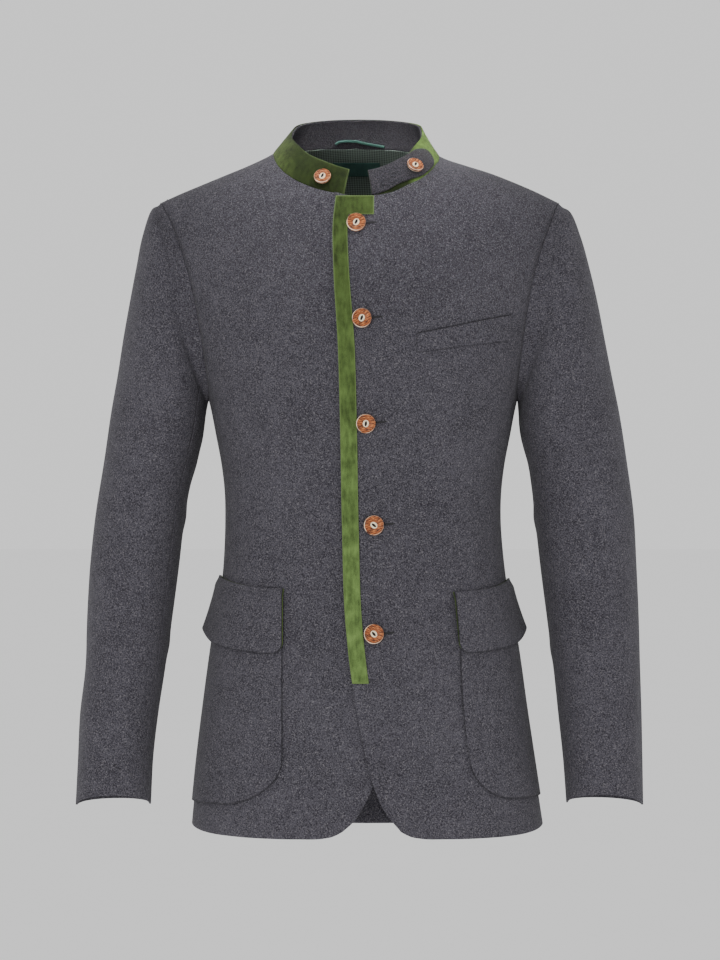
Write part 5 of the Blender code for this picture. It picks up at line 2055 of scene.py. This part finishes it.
@dataclass
class Dresser:
    """Gives each piece its finish and its body, and hides the CAD nodes it stands for."""

    count: int = 0

    def dress(self, obj: Piece, finish: Material, slot: str, *nodes: str) -> Piece:
        """Finish a piece and tie it to the frame.

        Args:
            obj: the piece.
            finish: its material.
            slot: not used.
            nodes: CAD nodes it replaces.

        Returns:
            The piece.
        """
        obj.data.materials.clear()
        obj.data.materials.append(finish)
        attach(obj, BODY)
        if nodes:
            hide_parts(*nodes)
        self.count += 1
        log.info("%s: %d faces", obj.name, len(obj.data.polygons))
        return obj

    def sew(
        self, sheet: Sheet, finish: Material, slot: str, node: str, held: str = "hung",
        on: tuple[str, ...] = (),
    ) -> Piece:
        """Build and finish a cloth piece.

        Args:
            sheet: the sheet.
            finish: its material.
            slot: the record's material slot.
            node: the CAD node it replaces.
            held: not used.
            on: not used.

        Returns:
            The piece.
        """
        obj = self.dress(sheet.build(), finish, slot, node)
        return obj


class Jacket:
    """The whole jacket, one sub-assembly after another."""

    def __init__(self) -> None:
        """Prepare the surface, the finishes and the dresser."""
        self.torso = Torso()
        self.fronts = Fronts(self.torso)
        self.back = Back(self.torso)
        self.collar = Collar(self.torso)
        self.finishes = Finishes()
        self.dresser = Dresser()

    def make_body(self) -> None:
        """Fronts, trim and back, with the lining and label inside."""
        sew, finishes = self.dresser.sew, self.finishes
        sew(self.fronts.left(), finishes.loden, "loden_grey", "front_left")
        sew(self.fronts.right(), finishes.loden, "loden_grey", "front_right")
        trim = self.fronts.trim()
        sew(trim, finishes.trim, "moss_suede", "front_trim", "laid", ("front_left",))
        sew(self.back.outside(), finishes.loden, "loden_grey", "back")
        sew(self.back.inside(), finishes.lining, "green_check", "back_lining", "hung", ("back",))
        label = self.back.label()
        sew(label, finishes.label, "teal", "neck_label", "laid", ("back_lining",))

    def make_sleeves(self) -> None:
        """Both pieces of both sleeves."""
        sew, finish = self.dresser.sew, self.finishes.loden
        for side, rings, folds in (
            (Side.LEFT, LEFT_SLEEVE, LEFT_CREASES),
            (Side.RIGHT, RIGHT_SLEEVE, RIGHT_CREASES),
        ):
            sleeve = Sleeve(self.torso, side, rings, folds)
            sew(sleeve.upper(), finish, "loden_grey", f"upper_sleeve_{side.word}")
            sew(sleeve.under(), finish, "loden_grey", f"under_sleeve_{side.word}")

    def make_collar(self) -> None:
        """The collar's two faces, its tab and the hanger loop."""
        sew, finishes, collar = self.dresser.sew, self.finishes, self.collar
        sew(collar.outside(), finishes.collar, "moss_suede", "collar_outer")
        sew(collar.inside(), finishes.inner_loden, "loden_grey", "collar_inner")
        tab_on = ("collar_outer",)
        sew(collar.tab(), finishes.tab_loden, "loden_grey", "collar_tab", "folded", tab_on)
        self.dresser.dress(collar.loop(), finishes.braid, "teal", "hanger_loop")

    def make_pockets(self) -> None:
        """Two patch pockets with flaps, and the breast welt."""
        sew, finishes = self.dresser.sew, self.finishes
        for pocket in (
            PatchPocket(self.torso, Side.LEFT, 106.5, 11, -701, 44, 99.5, 104.5, -477.0, -543.0),
            PatchPocket(self.torso, Side.RIGHT, -84.5, 0, -707, 52, -83.5, -83.5, -473.5, -543.5),
        ):
            word = pocket.side.word
            on = (f"front_{word}",)
            sew(pocket.pouch(), finishes.loden, "loden_grey", f"pocket_{word}", "laid", on)
            facing = f"flap_facing_{word}"
            sew(pocket.flap_facing(), finishes.facing, "moss_suede", facing, "hung", on)
            sew(pocket.flap(), finishes.loden, "loden_grey", f"flap_{word}", "hung", on)
        welt = Welt(self.torso).strip()
        sew(welt, finishes.loden, "loden_grey", "chest_welt", "laid", ("front_left",))

    def make_buttons(self) -> None:
        """Seven horn buttons with their thread, and the five buttonholes of the lap."""
        buttons = []
        for name, x, z, radius, grain, lean in FRONT_BUTTONS:
            angle = self.torso.front_angle(np.array(x), np.array(z))
            base = self.torso.skin(angle, z, self.fronts.lap)
            above = self.torso.skin(angle, z, self.fronts.lap + 1)
            buttons.append(HornButton(name, radius, Seat.on(base, above), grain, lean))
            hole = Buttonhole(f"buttonhole_{name}", self.torso, self.fronts, (x, z))
            self.dresser.dress(hole.stitches(), self.finishes.dark_thread, "")
        for name, along, up, lift, radius, grain, lean in COLLAR_BUTTONS:
            base, above = self.collar.on(along, up, lift), self.collar.on(along, up, lift + 1)
            buttons.append(HornButton(name, radius, Seat.on(base, above), grain, lean))
        for button in buttons:
            self.dresser.dress(button.face(), self.finishes.horn, "horn", button.name)
            self.dresser.dress(button.thread(), self.finishes.thread, "")


@dataclass
class Studio:
    """Floor, lights and camera."""

    floor_z: float = -1.45
    floor_reach: float = 60.0
    daylight: float = 0.97
    camera_at: Place = (-0.0011, -4.5, -0.3564)
    lens: float = 153.4
    film: float = 36.0

    def light(
        self, name: str, at: Place, size: float, power: float,
        aim_z: float = -0.36, fan: float = 180.0,
    ) -> None:
        """A soft square light, aimed at a height on the middle line and fanned out so far.

        Args:
            name: the light's name.
            at: where it hangs, in metres.
            size: the length of its side.
            power: watts.
            aim_z: the height it is aimed at.
            fan: degrees.
        """
        lamp = bpy.data.lights.new(name, "AREA")
        lamp.size, lamp.energy, lamp.spread = size, power, math.radians(fan)
        obj = bpy.data.objects.new(name, lamp)
        obj.location = at
        aim = Vector((0, 0, aim_z)) - Vector(at)
        obj.rotation_euler = aim.to_track_quat("-Z", "Y").to_euler()
        bpy.context.scene.collection.objects.link(obj)

    def set_up(self, floor: Material) -> None:
        """Lay the floor, hang the lights and aim the camera.

        Args:
            floor: the floor's material.
        """
        square = np.array([(-1, -1), (1, -1), (1, 1), (-1, 1)]) * self.floor_reach
        points = np.column_stack([square, np.full(4, self.floor_z)]) / MM
        plane = put_mesh("floor", points, np.array([[0, 1, 2, 3]]))
        plane.data.materials.append(floor)
        world = bpy.data.worlds.new("studio")
        world.use_nodes = True
        sky = world.node_tree.nodes["Background"].inputs
        sky["Color"].default_value = (1, 1, 1, 1)
        sky["Strength"].default_value = self.daylight
        bpy.context.scene.world = world
        self.light("key", (-1.0, -2.9, -0.35), 1.2, 31, aim_z=-0.45)
        self.light("fill", (2.8, -1.5, -0.5), 1.4, 11, aim_z=-0.45)
        self.light("above", (0.1, -1.1, 1.7), 0.2, 0.3, aim_z=0.02, fan=9.0)
        camera = bpy.data.cameras.new("camera")
        camera.lens, camera.sensor_width = self.lens, self.film
        camera.clip_start, camera.clip_end = 0.05, 200
        obj = bpy.data.objects.new("camera", camera)
        obj.location = self.camera_at
        obj.rotation_euler = (QUARTER_TURN, 0, 0)
        bpy.context.scene.collection.objects.link(obj)
        bpy.context.scene.camera = obj


def main() -> None:
    """Build and dress every piece, light them and aim the camera."""
    logging.basicConfig(level=logging.INFO, format="%(name)s: %(message)s")
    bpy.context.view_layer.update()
    jacket = Jacket()
    jacket.make_body()
    jacket.make_sleeves()
    jacket.make_collar()
    jacket.make_pockets()
    jacket.make_buttons()
    Studio().set_up(jacket.finishes.floor)


if __name__ == "__main__":
    main()
